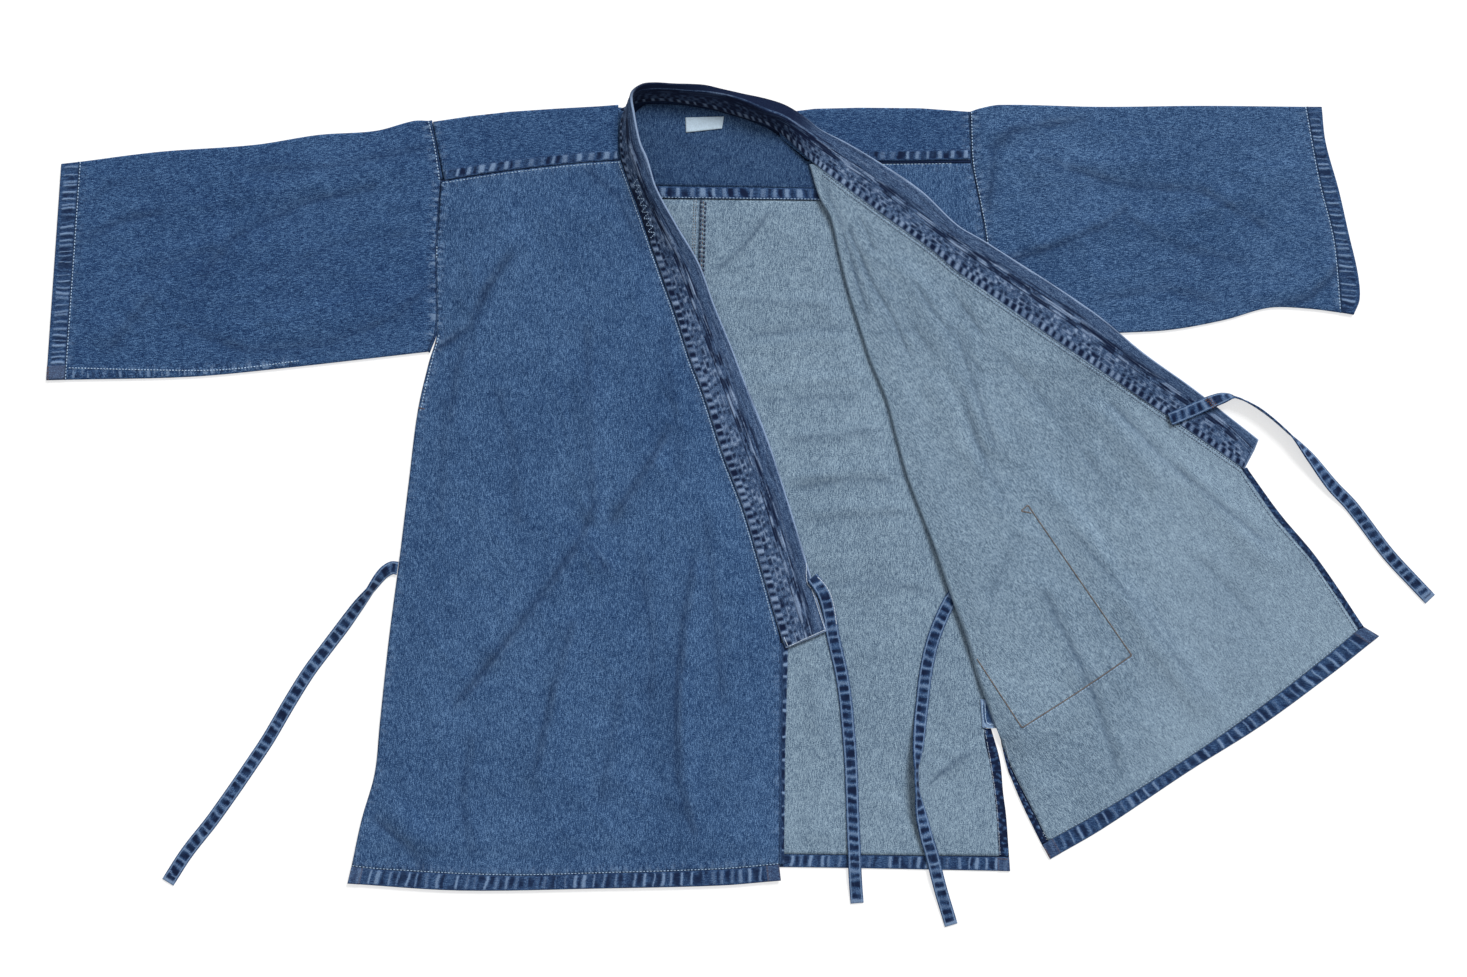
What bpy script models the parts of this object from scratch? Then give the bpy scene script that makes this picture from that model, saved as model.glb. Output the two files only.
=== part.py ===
"""Kendo jacket in washed denim, laid flat on its back with the left front turned back.

Flat places are millimetres on a laying-out board, x to the right and y down from its
top left corner. Heights are millimetres above the board. Each piece is a cloth wall
stretched between the edges that its maker would cut, and the layers lie on each other.
"""

import math

import bmesh
import bpy
from mathutils import Vector

# Cloth and layers, in millimetres
CLOTH = 1.2
SEAM_GAP = 0.3
LAYER = CLOTH + SEAM_GAP
MM = 0.001
BOARD_CENTRE_X = 740.914
BOARD_CENTRE_Y = 506.338

# Heights of the piled layers
YOKE_LIFT = 2.1
YOKE_LIFT_ENDS = (208.0, 245.0)
PILE_LIFT_ENDS = (236.0, 280.0)
HEM_LIFT = 1.3
SLEEVE_THICK = 3.4
SLEEVE_PILE = 4.9
CUFF_THICK = 4.0
CUFF_CLOTH = 1.6
HEM_THICK = 2.0
RIB_HEIGHT = 0.5
FELL_THICK = 1.4
FELL_RIB = 0.35

# Neckband and ties
BAND_THICK = 3.2
BAND_ROW_HEIGHT = 0.5
TIE_WIDTH = 12.8
TIE_THICK = 1.6
FOLD_RADIUS_MIDDLE = 3.6
FOLD_RADIUS_ENDS = 2.3

# Repeats
HEM_RIB_PITCH = 11.0
CUFF_RIB_PITCH = 7.5
FELL_RIB_PITCH = 10.0

# Edges of the body, as x, y on the board
RIGHT_SIDE = [(441, 197), (440, 215), (437, 251), (437, 334), (429, 363), (418, 411), (409, 482),
              (400, 556), (389, 640), (380, 724), (375, 773), (362, 819), (352, 864)]
LEFT_SIDE = [(978, 203), (985, 240), (988, 330), (989, 440), (990, 560), (993, 640), (992, 700),
             (984, 731), (990, 765), (993, 785), (996, 810), (999, 856)]
CENTRE_BACK = [(700, 198.6), (679, 853)]
YOKE_BACK_SEAM = [(441, 196.5), (640, 198), (978, 202.5)]
BAND_SEAM = [(621, 161), (633, 193), (648, 236), (663, 279), (676, 315), (691, 361), (704, 395),
             (723, 454), (744, 510), (764, 578), (779, 638), (779, 868)]
RIGHT_YOKE_SEAM = [(442, 182), (508, 172), (579, 164), (621, 161)]

# Slit edges below the left side seam
BACK_SLIT_OUTER = [(991, 731), (1000, 761), (1003, 792), (1006, 815), (1009, 856)]
BACK_SLIT_INNER = [(984, 731), (990, 765), (993, 785), (996, 810), (999, 856)]
FRONT_SLIT_OUTER = [(1000, 738), (1006, 764), (1013, 783), (1022, 804), (1032, 825), (1041, 843)]
FRONT_SLIT_INNER = [(1003, 739), (1011, 770), (1029, 806), (1047, 842)]

# Sections of the left front: side seam, fold line and front edge
LEFT_FRONT_SECTIONS = [
    dict(side=(970, 164), fold=(809, 165), edge=(815, 162)),
    dict(side=(977, 196), fold=(819, 198), edge=(839, 183)),
    dict(side=(981, 218), fold=(830, 218), edge=(858, 197)),
    dict(side=(985, 250), fold=(838, 252), edge=(884, 216)),
    dict(side=(987, 290), fold=(848, 292), edge=(917, 240)),
    dict(side=(988, 328), fold=(860, 330), edge=(944, 262)),
    dict(side=(988, 361), fold=(870, 361), edge=(974, 283)),
    dict(side=(988, 400), fold=(886, 400), edge=(1010, 307)),
    dict(side=(989, 440), fold=(896, 438), edge=(1040, 330)),
    dict(side=(989, 475), fold=(906, 474), edge=(1068, 350)),
    dict(side=(990, 515), fold=(921, 514), edge=(1105, 374)),
    dict(side=(990, 555), fold=(935, 550), edge=(1142, 399)),
    dict(side=(992, 600), fold=(951, 598), edge=(1181, 427)),
    dict(side=(993, 640), fold=(965, 636), edge=(1214, 450)),
    dict(side=(994, 680), fold=(977, 677), edge=(1237, 468)),
    dict(side=(996, 702), fold=(985, 699), edge=(1257, 497)),
    dict(side=(1004, 733), fold=(997, 731), edge=(1279, 523)),
    dict(side=None, fold=(1012, 769), edge=(1308, 556), bulge=3),
    dict(side=None, fold=(1030, 805), edge=(1332, 590), bulge=6),
    dict(side=None, fold=(1048, 841), edge=(1358, 630), bulge=10),
]
BULGE_WAY = (0.56, 0.83)
SLIT_TOP_SECTION = 16
FRONT_EDGE_OUTER = [(1249, 471), (1280, 514), (1316, 557), (1363, 626)]
FRONT_EDGE_INNER = [(1243, 472), (1275, 518), (1311, 560), (1358, 629)]

# Sleeves, each from its cuff stitch line to the armhole
RIGHT_SLEEVE = dict(
    top=[(80, 162), (159, 152), (255, 145), (319, 135), (376, 131), (414, 121), (430, 121)],
    bottom=[(65, 380), (191, 377), (287, 368), (376, 358), (428, 352)],
    cuff=[(80, 162), (65, 380)],
    armhole=[(430, 121), (436, 146), (441, 180), (439, 203), (436, 251), (436, 328), (428, 352)])
RIGHT_CUFF = dict(
    top=[(62, 164), (80, 162)], bottom=[(47, 380.5), (65, 380)],
    cuff=[(62, 164), (47, 380.5)], armhole=[(80, 162), (65, 380)])
LEFT_SLEEVE = dict(
    top=[(1306, 107), (1200, 106), (1100, 107), (1000, 105), (978, 109), (970, 112)],
    bottom=[(1341, 313), (1309, 309), (1269, 308), (1225, 320), (1171, 330), (1121, 333),
            (1060, 335), (991, 332)],
    cuff=[(1306, 107), (1319, 179), (1334, 241), (1341, 313)],
    armhole=[(970, 112), (972, 163), (979, 200), (986, 240), (991, 332)])
LEFT_CUFF = dict(
    top=[(1321, 107), (1306, 107)], bottom=[(1353, 315), (1341, 313)],
    cuff=[(1321, 107), (1325, 143), (1338, 190), (1348, 234), (1357, 273), (1359, 299), (1353, 315)],
    armhole=[(1306, 107), (1319, 179), (1334, 241), (1341, 313)])

# Yoke sections from the right armhole to the left one: back seam, shoulder fold, front seam
YOKE_SECTIONS = [
    dict(back=(444, 196), top=(433.5, 122), front=(445, 181)),
    dict(back=(485, 196.4), top=(470, 116.5), front=(482, 174.5)),
    dict(back=(530, 196.8), top=(510, 112), front=(525, 169)),
    dict(back=(575, 197.2), top=(555, 109), front=(570, 164.5)),
    dict(back=(610, 197.5), top=(600, 106.5), front=(600, 161.8)),
    dict(back=(634, 197.7), top=(619, 105), front=(618.5, 159.5)),
    dict(back=(650, 198), top=(645, 108.5), front=None),
    dict(back=(678, 198.3), top=(680, 108.5), front=None),
    dict(back=(712, 198.8), top=(714, 113.5), front=None),
    dict(back=(745, 199.2), top=(745, 123), front=None),
    dict(back=(763, 199.6), top=(762, 127.5), front=None),
    dict(back=(780, 199.8), top=(775, 119), front=(780, 138)),
    dict(back=(805, 200), top=(795, 111.5), front=(807, 160)),
    dict(back=(830, 200.4), top=(815, 109), front=(832, 161.8)),
    dict(back=(870, 200.9), top=(860, 108), front=(870, 161.8)),
    dict(back=(925, 201.6), top=(920, 108.5), front=(925, 161.2)),
    dict(back=(976, 202.2), top=(968, 112), front=(970, 160.3)),
]
NECK_SECTIONS = (6, 10)
LINING_NECK = [(445, 126), (520, 114), (610, 108), (636, 119), (645, 109.5), (680, 109.5), (714, 114.5),
               (745, 124), (766, 131), (782, 141), (795, 154), (808, 165), (830, 125), (900, 112),
               (962, 115)]
LINING_HEM = [(446, 184), (650, 186), (965, 190.5)]
LINING_EDGE = [(446, 197), (650, 198.3), (970, 202.5)]

# Sections of the neckband, from its end on the right front round the neck to its other end.
# lift is the height of the ridge and of the free edge above the cloth that the band lies on.
BAND_SECTIONS = [
    dict(seam=(786, 648), ridge=(813, 637), free=(826, 631), lift=(0, 0)),
    dict(seam=(780, 632), ridge=(809, 621), free=(822, 617), lift=(0, 0)),
    dict(seam=(764, 578), ridge=(793, 569), free=(807, 565), lift=(0, 0)),
    dict(seam=(744, 510), ridge=(772, 500), free=(786, 496), lift=(0, 0)),
    dict(seam=(723, 454), ridge=(751, 440), free=(765, 433), lift=(0, 0)),
    dict(seam=(704, 395), ridge=(731, 386), free=(744, 381), lift=(0, 0)),
    dict(seam=(691, 361), ridge=(718, 351), free=(731, 347), lift=(1, 1)),
    dict(seam=(676, 315), ridge=(701, 307), free=(713, 303), lift=(4, 5)),
    dict(seam=(663, 279), ridge=(687, 269), free=(699, 265), lift=(8, 10)),
    dict(seam=(648, 236), ridge=(668, 231), free=(678, 229), lift=(14, 17)),
    dict(seam=(633, 193), ridge=(648, 192), free=(657, 191), lift=(17, 21)),
    dict(seam=(622, 160), ridge=(637, 162), free=(648, 162), lift=(18, 23)),
    dict(seam=(620, 145), ridge=(632, 147), free=(641, 146), lift=(18, 24)),
    dict(seam=(621, 124), ridge=(630, 119), free=(635, 117), lift=(18, 24)),
    dict(seam=(627, 110), ridge=(631, 103), free=(633, 98), lift=(19, 25)),
    dict(seam=(636, 104), ridge=(639, 94), free=(642, 89), lift=(20, 26), base=0.0),
    dict(seam=(650, 102), ridge=(653, 92), free=(656, 87), lift=(21, 26), base=0.0),
    dict(seam=(668, 102), ridge=(668, 92), free=(672, 88), lift=(22, 26), base=0.0),
    dict(seam=(690, 105), ridge=(690, 94.5), free=(690, 88.5), lift=(23, 26), base=0.0),
    dict(seam=(712, 109), ridge=(708, 96), free=(706, 89.5), lift=(24, 25), base=0.0),
    dict(seam=(732, 114.5), ridge=(726, 99), free=(722, 93), lift=(24, 24), base=0.0),
    dict(seam=(750, 120), ridge=(745, 105), free=(742, 97.5), lift=(24, 22), base=0.0),
    dict(seam=(768, 126), ridge=(765, 114), free=(765, 102), lift=(19, 16), base=3.4),
    dict(seam=(784, 137), ridge=(782, 120), free=(785, 108), lift=(14, 10), base=5.4),
    dict(seam=(797, 149), ridge=(798, 129), free=(804, 119), lift=(9, 6), base=5.4),
    dict(seam=(810, 161), ridge=(815, 140), free=(820, 131), lift=(5, 3), base=5.4),
    dict(seam=(824, 172), ridge=(838, 155), free=(846, 144), lift=(2, 1)),
    dict(seam=(855, 195), ridge=(871, 176), free=(883, 166), lift=(0, 0)),
    dict(seam=(893, 223), ridge=(910, 206), free=(921, 192), lift=(0, 0)),
    dict(seam=(932, 251), ridge=(948, 234), free=(957, 226), lift=(0, 0)),
    dict(seam=(957, 272), ridge=(973, 250), free=(984, 242), lift=(0, 0)),
    dict(seam=(1063, 346), ridge=(1081, 322), free=(1090, 311), lift=(0, 0)),
    dict(seam=(1117, 382), ridge=(1134, 361), free=(1143, 354), lift=(0, 0)),
    dict(seam=(1164, 414), ridge=(1182, 393), free=(1190, 387), lift=(0, 0)),
    dict(seam=(1205, 442), ridge=(1222, 420), free=(1230, 418), lift=(0, 0)),
    dict(seam=(1244, 469), ridge=(1254, 450), free=(1258, 440), lift=(0, 0)),
]
BAND_CLEARANCE = 1.2
BAND_ROWS = 5
BAND_PLAIN_COLUMNS = 2

# Ties: middle line on the board, height of its middle and roll about its length in degrees
TIE_OUTER_RIGHT = [
    dict(x=398.0, y=568.2, z=3.0, roll=0), dict(x=392, y=567.8, z=3.4, roll=10),
    dict(x=383, y=574, z=4.7, roll=36),
    dict(x=371, y=590, z=7.0, roll=62), dict(x=360, y=604, z=5.5, roll=38),
    dict(x=345, y=624, z=2.6, roll=12), dict(x=329, y=645, z=0.8, roll=0),
    dict(x=306, y=676, z=0.8, roll=0), dict(x=263, y=747, z=0.8, roll=0),
    dict(x=214, y=818, z=0.8, roll=0), dict(x=186, y=854, z=0.8, roll=0),
    dict(x=168, y=882, z=0.8, roll=0)]
TIE_BAND_RIGHT = [
    dict(x=814.5, y=577, z=8.6, roll=68), dict(x=821, y=585, z=8.4, roll=62),
    dict(x=826, y=594, z=7.4, roll=45), dict(x=830, y=612, z=4.6, roll=18),
    dict(x=834, y=640, z=2.4, roll=0), dict(x=843, y=682, z=2.4, roll=0),
    dict(x=849, y=739, z=2.4, roll=0), dict(x=852, y=790, z=2.4, roll=0),
    dict(x=853, y=830, z=2.9, roll=0), dict(x=854, y=848, z=3.9, roll=0),
    dict(x=855, y=874, z=3.9, roll=0), dict(x=856, y=890, z=1.9, roll=0),
    dict(x=857, y=903, z=0.9, roll=0)]
TIE_INNER_LEFT = [
    dict(x=982, y=562, z=2.4, roll=0), dict(x=966, y=580, z=2.4, roll=0),
    dict(x=949, y=602, z=2.4, roll=0), dict(x=935, y=634, z=2.4, roll=0),
    dict(x=926, y=670, z=2.4, roll=0), dict(x=921, y=713, z=2.6, roll=0),
    dict(x=918, y=745, z=5.4, roll=30), dict(x=916, y=768, z=8.4, roll=72),
    dict(x=917, y=792, z=8.4, roll=72), dict(x=921, y=815, z=6.0, roll=30),
    dict(x=927, y=840, z=4.4, roll=6), dict(x=931, y=852, z=3.9, roll=0),
    dict(x=937, y=876, z=3.9, roll=0), dict(x=943, y=898, z=1.9, roll=0),
    dict(x=951, y=925, z=0.9, roll=0)]
TIE_BAND_LEFT = [
    dict(x=1169, y=419.5, z=5.4, roll=0), dict(x=1190, y=411, z=5.4, roll=0),
    dict(x=1208, y=403, z=5.6, roll=6), dict(x=1222, y=398, z=6.8, roll=40),
    dict(x=1233, y=397, z=7.2, roll=72), dict(x=1258, y=409, z=7.0, roll=76),
    dict(x=1288, y=434, z=7.0, roll=74), dict(x=1308, y=456, z=5.6, roll=44),
    dict(x=1332, y=486, z=2.6, roll=12), dict(x=1352, y=507, z=0.9, roll=0),
    dict(x=1388, y=554, z=0.8, roll=0), dict(x=1430, y=599, z=0.8, roll=0)]

# Creases that stand up in the cloth
RIGHT_FRONT_FOLDS = [
    dict(start=(452, 318), end=(508, 240), height=4.0, reach=15),
    dict(start=(656, 466), end=(624, 504), height=3.0, reach=13),
    dict(start=(499, 650), end=(577, 543), height=3.5, reach=15),
    dict(start=(577, 543), end=(604, 566), height=2.5, reach=12),
    dict(start=(588, 380), end=(590, 508), height=2.5, reach=14),
    dict(start=(571, 627), end=(558, 700), height=3.0, reach=14),
    dict(start=(558, 700), end=(538, 773), height=3.0, reach=14),
    dict(start=(694, 579), end=(677, 678), height=3.0, reach=14),
    dict(start=(677, 678), end=(687, 800), height=3.5, reach=14),
    dict(start=(384, 800), end=(430, 848), height=2.5, reach=12),
]
RIGHT_SLEEVE_FOLDS = [
    dict(start=(110, 335), end=(215, 245), height=2.4, reach=16),
    dict(start=(190, 295), end=(250, 240), height=1.8, reach=13),
    dict(start=(285, 325), end=(420, 300), height=1.8, reach=15),
    dict(start=(250, 190), end=(400, 165), height=1.5, reach=18),
]
LEFT_SLEEVE_FOLDS = [
    dict(start=(1040, 246), end=(1117, 219), height=2.6, reach=13),
    dict(start=(1000, 132), end=(1065, 112), height=2.0, reach=12),
    dict(start=(1030, 168), end=(1140, 160), height=2.0, reach=13),
    dict(start=(1155, 232), end=(1285, 172), height=2.2, reach=15),
    dict(start=(1215, 290), end=(1330, 268), height=1.8, reach=14),
]
LEFT_FRONT_FOLDS = [
    dict(start=(910, 270), end=(990, 440), height=3.0, reach=17),
    dict(start=(940, 385), end=(992, 500), height=2.5, reach=14),
    dict(start=(1100, 410), end=(1156, 474), height=2.5, reach=13),
    dict(start=(1045, 590), end=(1078, 670), height=2.5, reach=13),
    dict(start=(1124, 597), end=(1207, 705), height=3.5, reach=15),
    dict(start=(1195, 480), end=(1265, 560), height=2.5, reach=14),
    dict(start=(1060, 500), end=(1100, 560), height=2.0, reach=13),
]
SWELL_HEIGHT = 1.1
SWELL_LENGTH = 95.0

# Small pieces
POCKET_TOP = [(957, 556), (1027, 508)]
POCKET_BOTTOM = [(1021, 724), (1128, 654)]
POCKET_LEFT = [(957, 556), (996, 655), (1021, 724)]
POCKET_RIGHT = [(1027, 508), (1128, 654)]
POCKET_MIDDLE = (1033.0, 610.0)
POCKET_ALONG = (0.57, 0.82)
POCKET_HALF = (94.0, 70.0)
POCKET_ROOM = 2.4
POCKET_REST = 0.3
LABEL_CORNERS = [(685.5, 118), (724, 117), (722, 129), (686, 133)]
LABEL_THICK = 1.0
PATCH_CORNERS = [(980, 699), (986, 699), (997, 728), (982, 728)]
PATCH_MIDDLE = (989.0, 714.0)
PATCH_CLEAR = (26.0, 50.0)
TIE_HIDDEN = ((984, 560), (949, 602))
TIE_CLEAR = (42.0, 75.0)

COLLECTION = bpy.data.collections.new("kendo_jacket")


def smooth(low, high, value):
    """Rise softly from 0 at low to 1 at high."""
    share = min(max((value - low) / (high - low), 0.0), 1.0)
    return share * share * (3.0 - 2.0 * share)


def at(x, y, z):
    """Turn a place on the board into a point with its origin under the jacket's middle."""
    return Vector((x - BOARD_CENTRE_X, BOARD_CENTRE_Y - y, z))


def along(points, share):
    """Point at a share of a broken line's length."""
    lengths = [math.dist(a, b) for a, b in zip(points, points[1:])]
    left = min(max(share, 0.0), 1.0) * sum(lengths)
    for (a, b), length in zip(zip(points, points[1:]), lengths):
        if left <= length or b is points[-1]:
            part = min(left / length, 1.0)
            return (a[0] + (b[0] - a[0]) * part, a[1] + (b[1] - a[1]) * part)
        left -= length
    return points[-1]


def across(points, y):
    """The x of a line that runs down the board, at a given y."""
    for a, b in zip(points, points[1:]):
        if y <= b[1] or b is points[-1]:
            part = min(max((y - a[1]) / (b[1] - a[1]), 0.0), 1.0)
            return a[0] + (b[0] - a[0]) * part
    return points[-1][0]


def distance(x, y, start, end):
    """Distance from a place to a straight stretch, and the share along it."""
    run = (end[0] - start[0], end[1] - start[1])
    share = ((x - start[0]) * run[0] + (y - start[1]) * run[1]) / (run[0] ** 2 + run[1] ** 2)
    share = min(max(share, 0.0), 1.0)
    return math.hypot(x - start[0] - run[0] * share, y - start[1] - run[1] * share)


def crease(x, y, folds):
    """Height of the highest crease at a place."""
    heights = [f["height"] * math.exp(-(distance(x, y, f["start"], f["end"]) / f["reach"]) ** 2)
               for f in folds]
    return max(heights)


def swell(x, y):
    """Air under cloth that was laid down and not pressed."""
    wave = math.sin(x / SWELL_LENGTH * math.pi + 0.7) * math.sin(y / SWELL_LENGTH * math.pi + 0.4)
    return SWELL_HEIGHT * 0.5 * (1.0 + wave)


def stretched(top, bottom, left, right, inset=True):
    """Flat places between four edges. The seam gap is left along each edge."""
    width = math.dist(top[0], top[-1]) + math.dist(bottom[0], bottom[-1])
    height = math.dist(left[0], left[-1]) + math.dist(right[0], right[-1])
    side_gap = SEAM_GAP / width if inset else 0.0
    end_gap = SEAM_GAP / height if inset else 0.0

    def place(u, v):
        u = side_gap + (1.0 - 2.0 * side_gap) * u
        v = end_gap + (1.0 - 2.0 * end_gap) * v
        up, down = along(top, u), along(bottom, u)
        near, far = along(left, v), along(right, v)
        corners = (top[0], top[-1], bottom[0], bottom[-1])
        result = []
        for axis in (0, 1):
            ruled = (1 - v) * up[axis] + v * down[axis] + (1 - u) * near[axis] + u * far[axis]
            shared = ((1 - u) * (1 - v) * corners[0][axis] + u * (1 - v) * corners[1][axis]
                      + (1 - u) * v * corners[2][axis] + u * v * corners[3][axis])
            result.append(ruled - shared)
        return tuple(result)
    return place


def finish(name, colour, roughness):
    """A cloth material for one piece."""
    material = bpy.data.materials.new(name + "_cloth")
    material.use_nodes = True
    shader = material.node_tree.nodes["Principled BSDF"]
    shader.inputs["Base Color"].default_value = (*colour, 1.0)
    shader.inputs["Roughness"].default_value = roughness
    shader.inputs["Metallic"].default_value = 0.0
    return material


OUTSIDE = (0.045, 0.105, 0.235)
INSIDE = (0.19, 0.27, 0.36)
HEM = (0.03, 0.075, 0.17)
BAND = (0.035, 0.055, 0.15)
LABEL = (0.5, 0.55, 0.52)


def wall(name, columns, rows, lower, upper, colour, keep=None, tube=False):
    """A closed cloth wall: a grid laid on the lower face, then raised to the upper one."""
    mesh = bpy.data.meshes.new(name)
    cloth = bmesh.new()
    bmesh.ops.create_grid(cloth, x_segments=columns, y_segments=rows, size=0.5)
    across_layer = cloth.verts.layers.float.new("across")
    along_layer = cloth.verts.layers.float.new("along")
    for vert in cloth.verts:
        vert[across_layer] = vert.co.x + 0.5
        vert[along_layer] = vert.co.y + 0.5
    if keep:
        spare = [f for f in cloth.faces
                 if not keep(f.calc_center_median().x + 0.5, f.calc_center_median().y + 0.5)]
        bmesh.ops.delete(cloth, geom=spare, context="FACES")
    for vert in cloth.verts:
        vert.co = lower(vert[across_layer], vert[along_layer]) * MM
    if tube:
        bmesh.ops.remove_doubles(cloth, verts=cloth.verts, dist=0.01 * MM)
    raised = bmesh.ops.extrude_face_region(cloth, geom=cloth.faces[:])
    for item in raised["geom"]:
        if isinstance(item, bmesh.types.BMVert):
            item.co = upper(item[across_layer], item[along_layer]) * MM
    bmesh.ops.recalc_face_normals(cloth, faces=cloth.faces)
    cloth.to_mesh(mesh)
    cloth.free()
    mesh.materials.append(finish(name, colour, 0.9))
    piece = bpy.data.objects.new(name, mesh)
    COLLECTION.objects.link(piece)
    return piece


def flat_wall(name, columns, rows, place, base, colour, thick=CLOTH, raised=None):
    """A wall that lies on base(x, y), with raised(u, v) more on its upper face."""
    def lower(u, v):
        x, y = place(u, v)
        return at(x, y, base(x, y))

    def upper(u, v):
        x, y = place(u, v)
        extra = raised(u, v) if raised else 0.0
        return at(x, y, base(x, y) + thick + extra)
    return wall(name, columns, rows, lower, upper, colour)


def ribs(count, height):
    """Crosswise ribs of a puckered hem, uneven in height, over a plain inside."""
    def raised(u, v):
        place = round(u * count * 2)
        if place % 2 == 0:
            return 0.0
        return height * (0.75 + 0.25 * math.sin(place * 2.3))
    return raised


def side_fade(x, y):
    """The right front's creases fade out towards its side seam, neckband and hem."""
    left = smooth(2.0, 42.0, x - across(RIGHT_SIDE, y))
    right = smooth(2.0, 34.0, across(BAND_SEAM, y) - x)
    top = smooth(185.0, 225.0, y)
    hem = 1.0 - smooth(835.0, 862.0, y)
    return left * right * top * hem


def yoke_step(y, ends=YOKE_LIFT_ENDS):
    """Share of the yoke's height that the cloth still lies on at y."""
    return 1.0 - smooth(*ends, y)


def right_front_base(x, y):
    hem_step = smooth(805.0, 845.0, y)
    folds = crease(x, y, RIGHT_FRONT_FOLDS) + swell(x, y)
    return LAYER + YOKE_LIFT * yoke_step(y) + HEM_LIFT * hem_step + folds * side_fade(x, y)


def hidden_lift(x, y):
    """Room over the inner tie and the slit patch that the left front hides."""
    tie = 1.0 - smooth(*TIE_CLEAR, distance(x, y, *TIE_HIDDEN))
    patch = 1.0 - smooth(*PATCH_CLEAR, math.dist((x, y), PATCH_MIDDLE))
    return max(1.95 * tie, 1.5 * patch)


def under_front_base(x, y):
    """Underside of the part of the left front that still lies on the back."""
    return LAYER + YOKE_LIFT * yoke_step(y) + hidden_lift(x, y)


def pocket_lift(x, y):
    dx, dy = x - POCKET_MIDDLE[0], y - POCKET_MIDDLE[1]
    long_way = abs(dx * POCKET_ALONG[0] + dy * POCKET_ALONG[1]) - POCKET_HALF[0]
    short_way = abs(dx * POCKET_ALONG[1] - dy * POCKET_ALONG[0]) - POCKET_HALF[1]
    return POCKET_ROOM * (1.0 - smooth(8.0, 34.0, max(long_way, short_way)))


def pile(x, y):
    """Top of what lies under the turned-back front: body, sleeve or the bare floor."""
    beyond_side = x - across([(970, 164), (988, 330), (990, 560), (996, 702), (1000, 733)], y)
    below_slit = smooth(722.0, 760.0, y)
    on_body = (1.0 - smooth(20.0, 75.0, beyond_side)) * (1.0 - below_slit)
    under_top = 2.0 * LAYER + YOKE_LIFT * yoke_step(y, PILE_LIFT_ENDS) + hidden_lift(x, y)
    body = on_body * under_top
    sleeve = SLEEVE_PILE * (1.0 - smooth(18.0, 70.0, y - 333.0)) * smooth(940.0, 975.0, x)
    return max(body, sleeve)


def fold_radius(y):
    """The fold is soft in the middle and tight at the neck and at the slit."""
    softness = smooth(165.0, 260.0, y) * (1.0 - smooth(560.0, 725.0, y))
    return FOLD_RADIUS_ENDS + (FOLD_RADIUS_MIDDLE - FOLD_RADIUS_ENDS) * softness


FOLD_LINE = [s["fold"] for s in LEFT_FRONT_SECTIONS[:SLIT_TOP_SECTION + 1]]


def turned_front_base(x, y):
    """Underside of the turned-back front, puffed along its fold line."""
    to_fold = x - across(FOLD_LINE, y) if y < FOLD_LINE[-1][1] else 200.0
    away_from_edges = smooth(4.0, 45.0, to_fold) * clear_of_hem(x, y) * clear_of_band(x, y, 30.0)
    folds = (crease(x, y, LEFT_FRONT_FOLDS) + swell(x, y)) * away_from_edges
    return pile(x, y) + pocket_lift(x, y) + folds


def clear_of_hem(x, y):
    """Fade towards the turned-back hem, a straight line on the board."""
    return smooth(4.0, 40.0, distance_above((1046, 846), (1363, 627), x, y))


def clear_of_band(x, y, reach):
    """Fade towards the neckband's run over the turned-back front, from either side."""
    return smooth(2.0, reach, abs(distance_above((835, 168), (1250, 457), x, y)) - 24.0)


def distance_above(start, end, x, y):
    """Signed distance of a place above a straight line on the board."""
    run = (end[0] - start[0], end[1] - start[1])
    return (run[1] * (x - start[0]) - run[0] * (y - start[1])) / math.hypot(*run)


def below_band(x):
    """The y of the neckband's seam over the turned-back front, at a given x."""
    seam = [(s["seam"][1], s["seam"][0]) for s in BAND_SECTIONS if s["seam"][0] > 800]
    return across(seam, x)


def make_back():
    """The two halves of the back, flat on the board, with the seam gap between them."""
    right = stretched(
        YOKE_BACK_SEAM[:2] + [(700, 198.6)], [(352, 864), (679, 853)], RIGHT_SIDE, CENTRE_BACK)
    left = stretched(
        [(700, 198.6), (978, 202.5)], [(679, 853), (999, 856)], CENTRE_BACK, LEFT_SIDE)
    flat_wall("back_right", 5, 24, right, lambda x, y: 0.0, INSIDE)
    flat_wall("back_left", 5, 26, left, lambda x, y: 0.0, INSIDE)


def make_yoke():
    """Outer yoke: one wall with its back layer, the shoulder folds and both front parts."""
    radius = (LAYER + YOKE_LIFT + CLOTH) / 2.0
    back_rows, fold_rows, front_rows = 3, 4, 2
    rows = back_rows + fold_rows + front_rows
    last = len(YOKE_SECTIONS) - 1

    def face(inward):
        def point(u, v):
            section = YOKE_SECTIONS[round(u * last)]
            step = round(v * rows)
            back, top, front = section["back"], section["top"], section["front"]
            turn = 0.0 if front is None else radius
            if step <= back_rows:
                share = step / back_rows
                x = back[0] + (top[0] - back[0]) * share
                y = back[1] + (top[1] + turn - back[1]) * share
                return at(x, y, inward)
            if step <= back_rows + fold_rows:
                angle = math.pi * (step - back_rows) / fold_rows
                reach = (radius - inward) * math.sin(angle)
                height = radius - (radius - inward) * math.cos(angle)
                return at(top[0], top[1] + radius - reach, height)
            share = (step - back_rows - fold_rows) / front_rows
            end = front if front else top
            x = top[0] + (end[0] - top[0]) * share
            y = top[1] + radius + (end[1] - top[1] - radius) * share
            return at(x, y, 2.0 * radius - inward)
        return point

    def keep(u, v):
        on_neck = NECK_SECTIONS[0] - 1 < u * last < NECK_SECTIONS[1] + 1
        return v * rows < back_rows or not on_neck

    wall("yoke", last, rows, face(0.0), face(CLOTH), OUTSIDE, keep)


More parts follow.
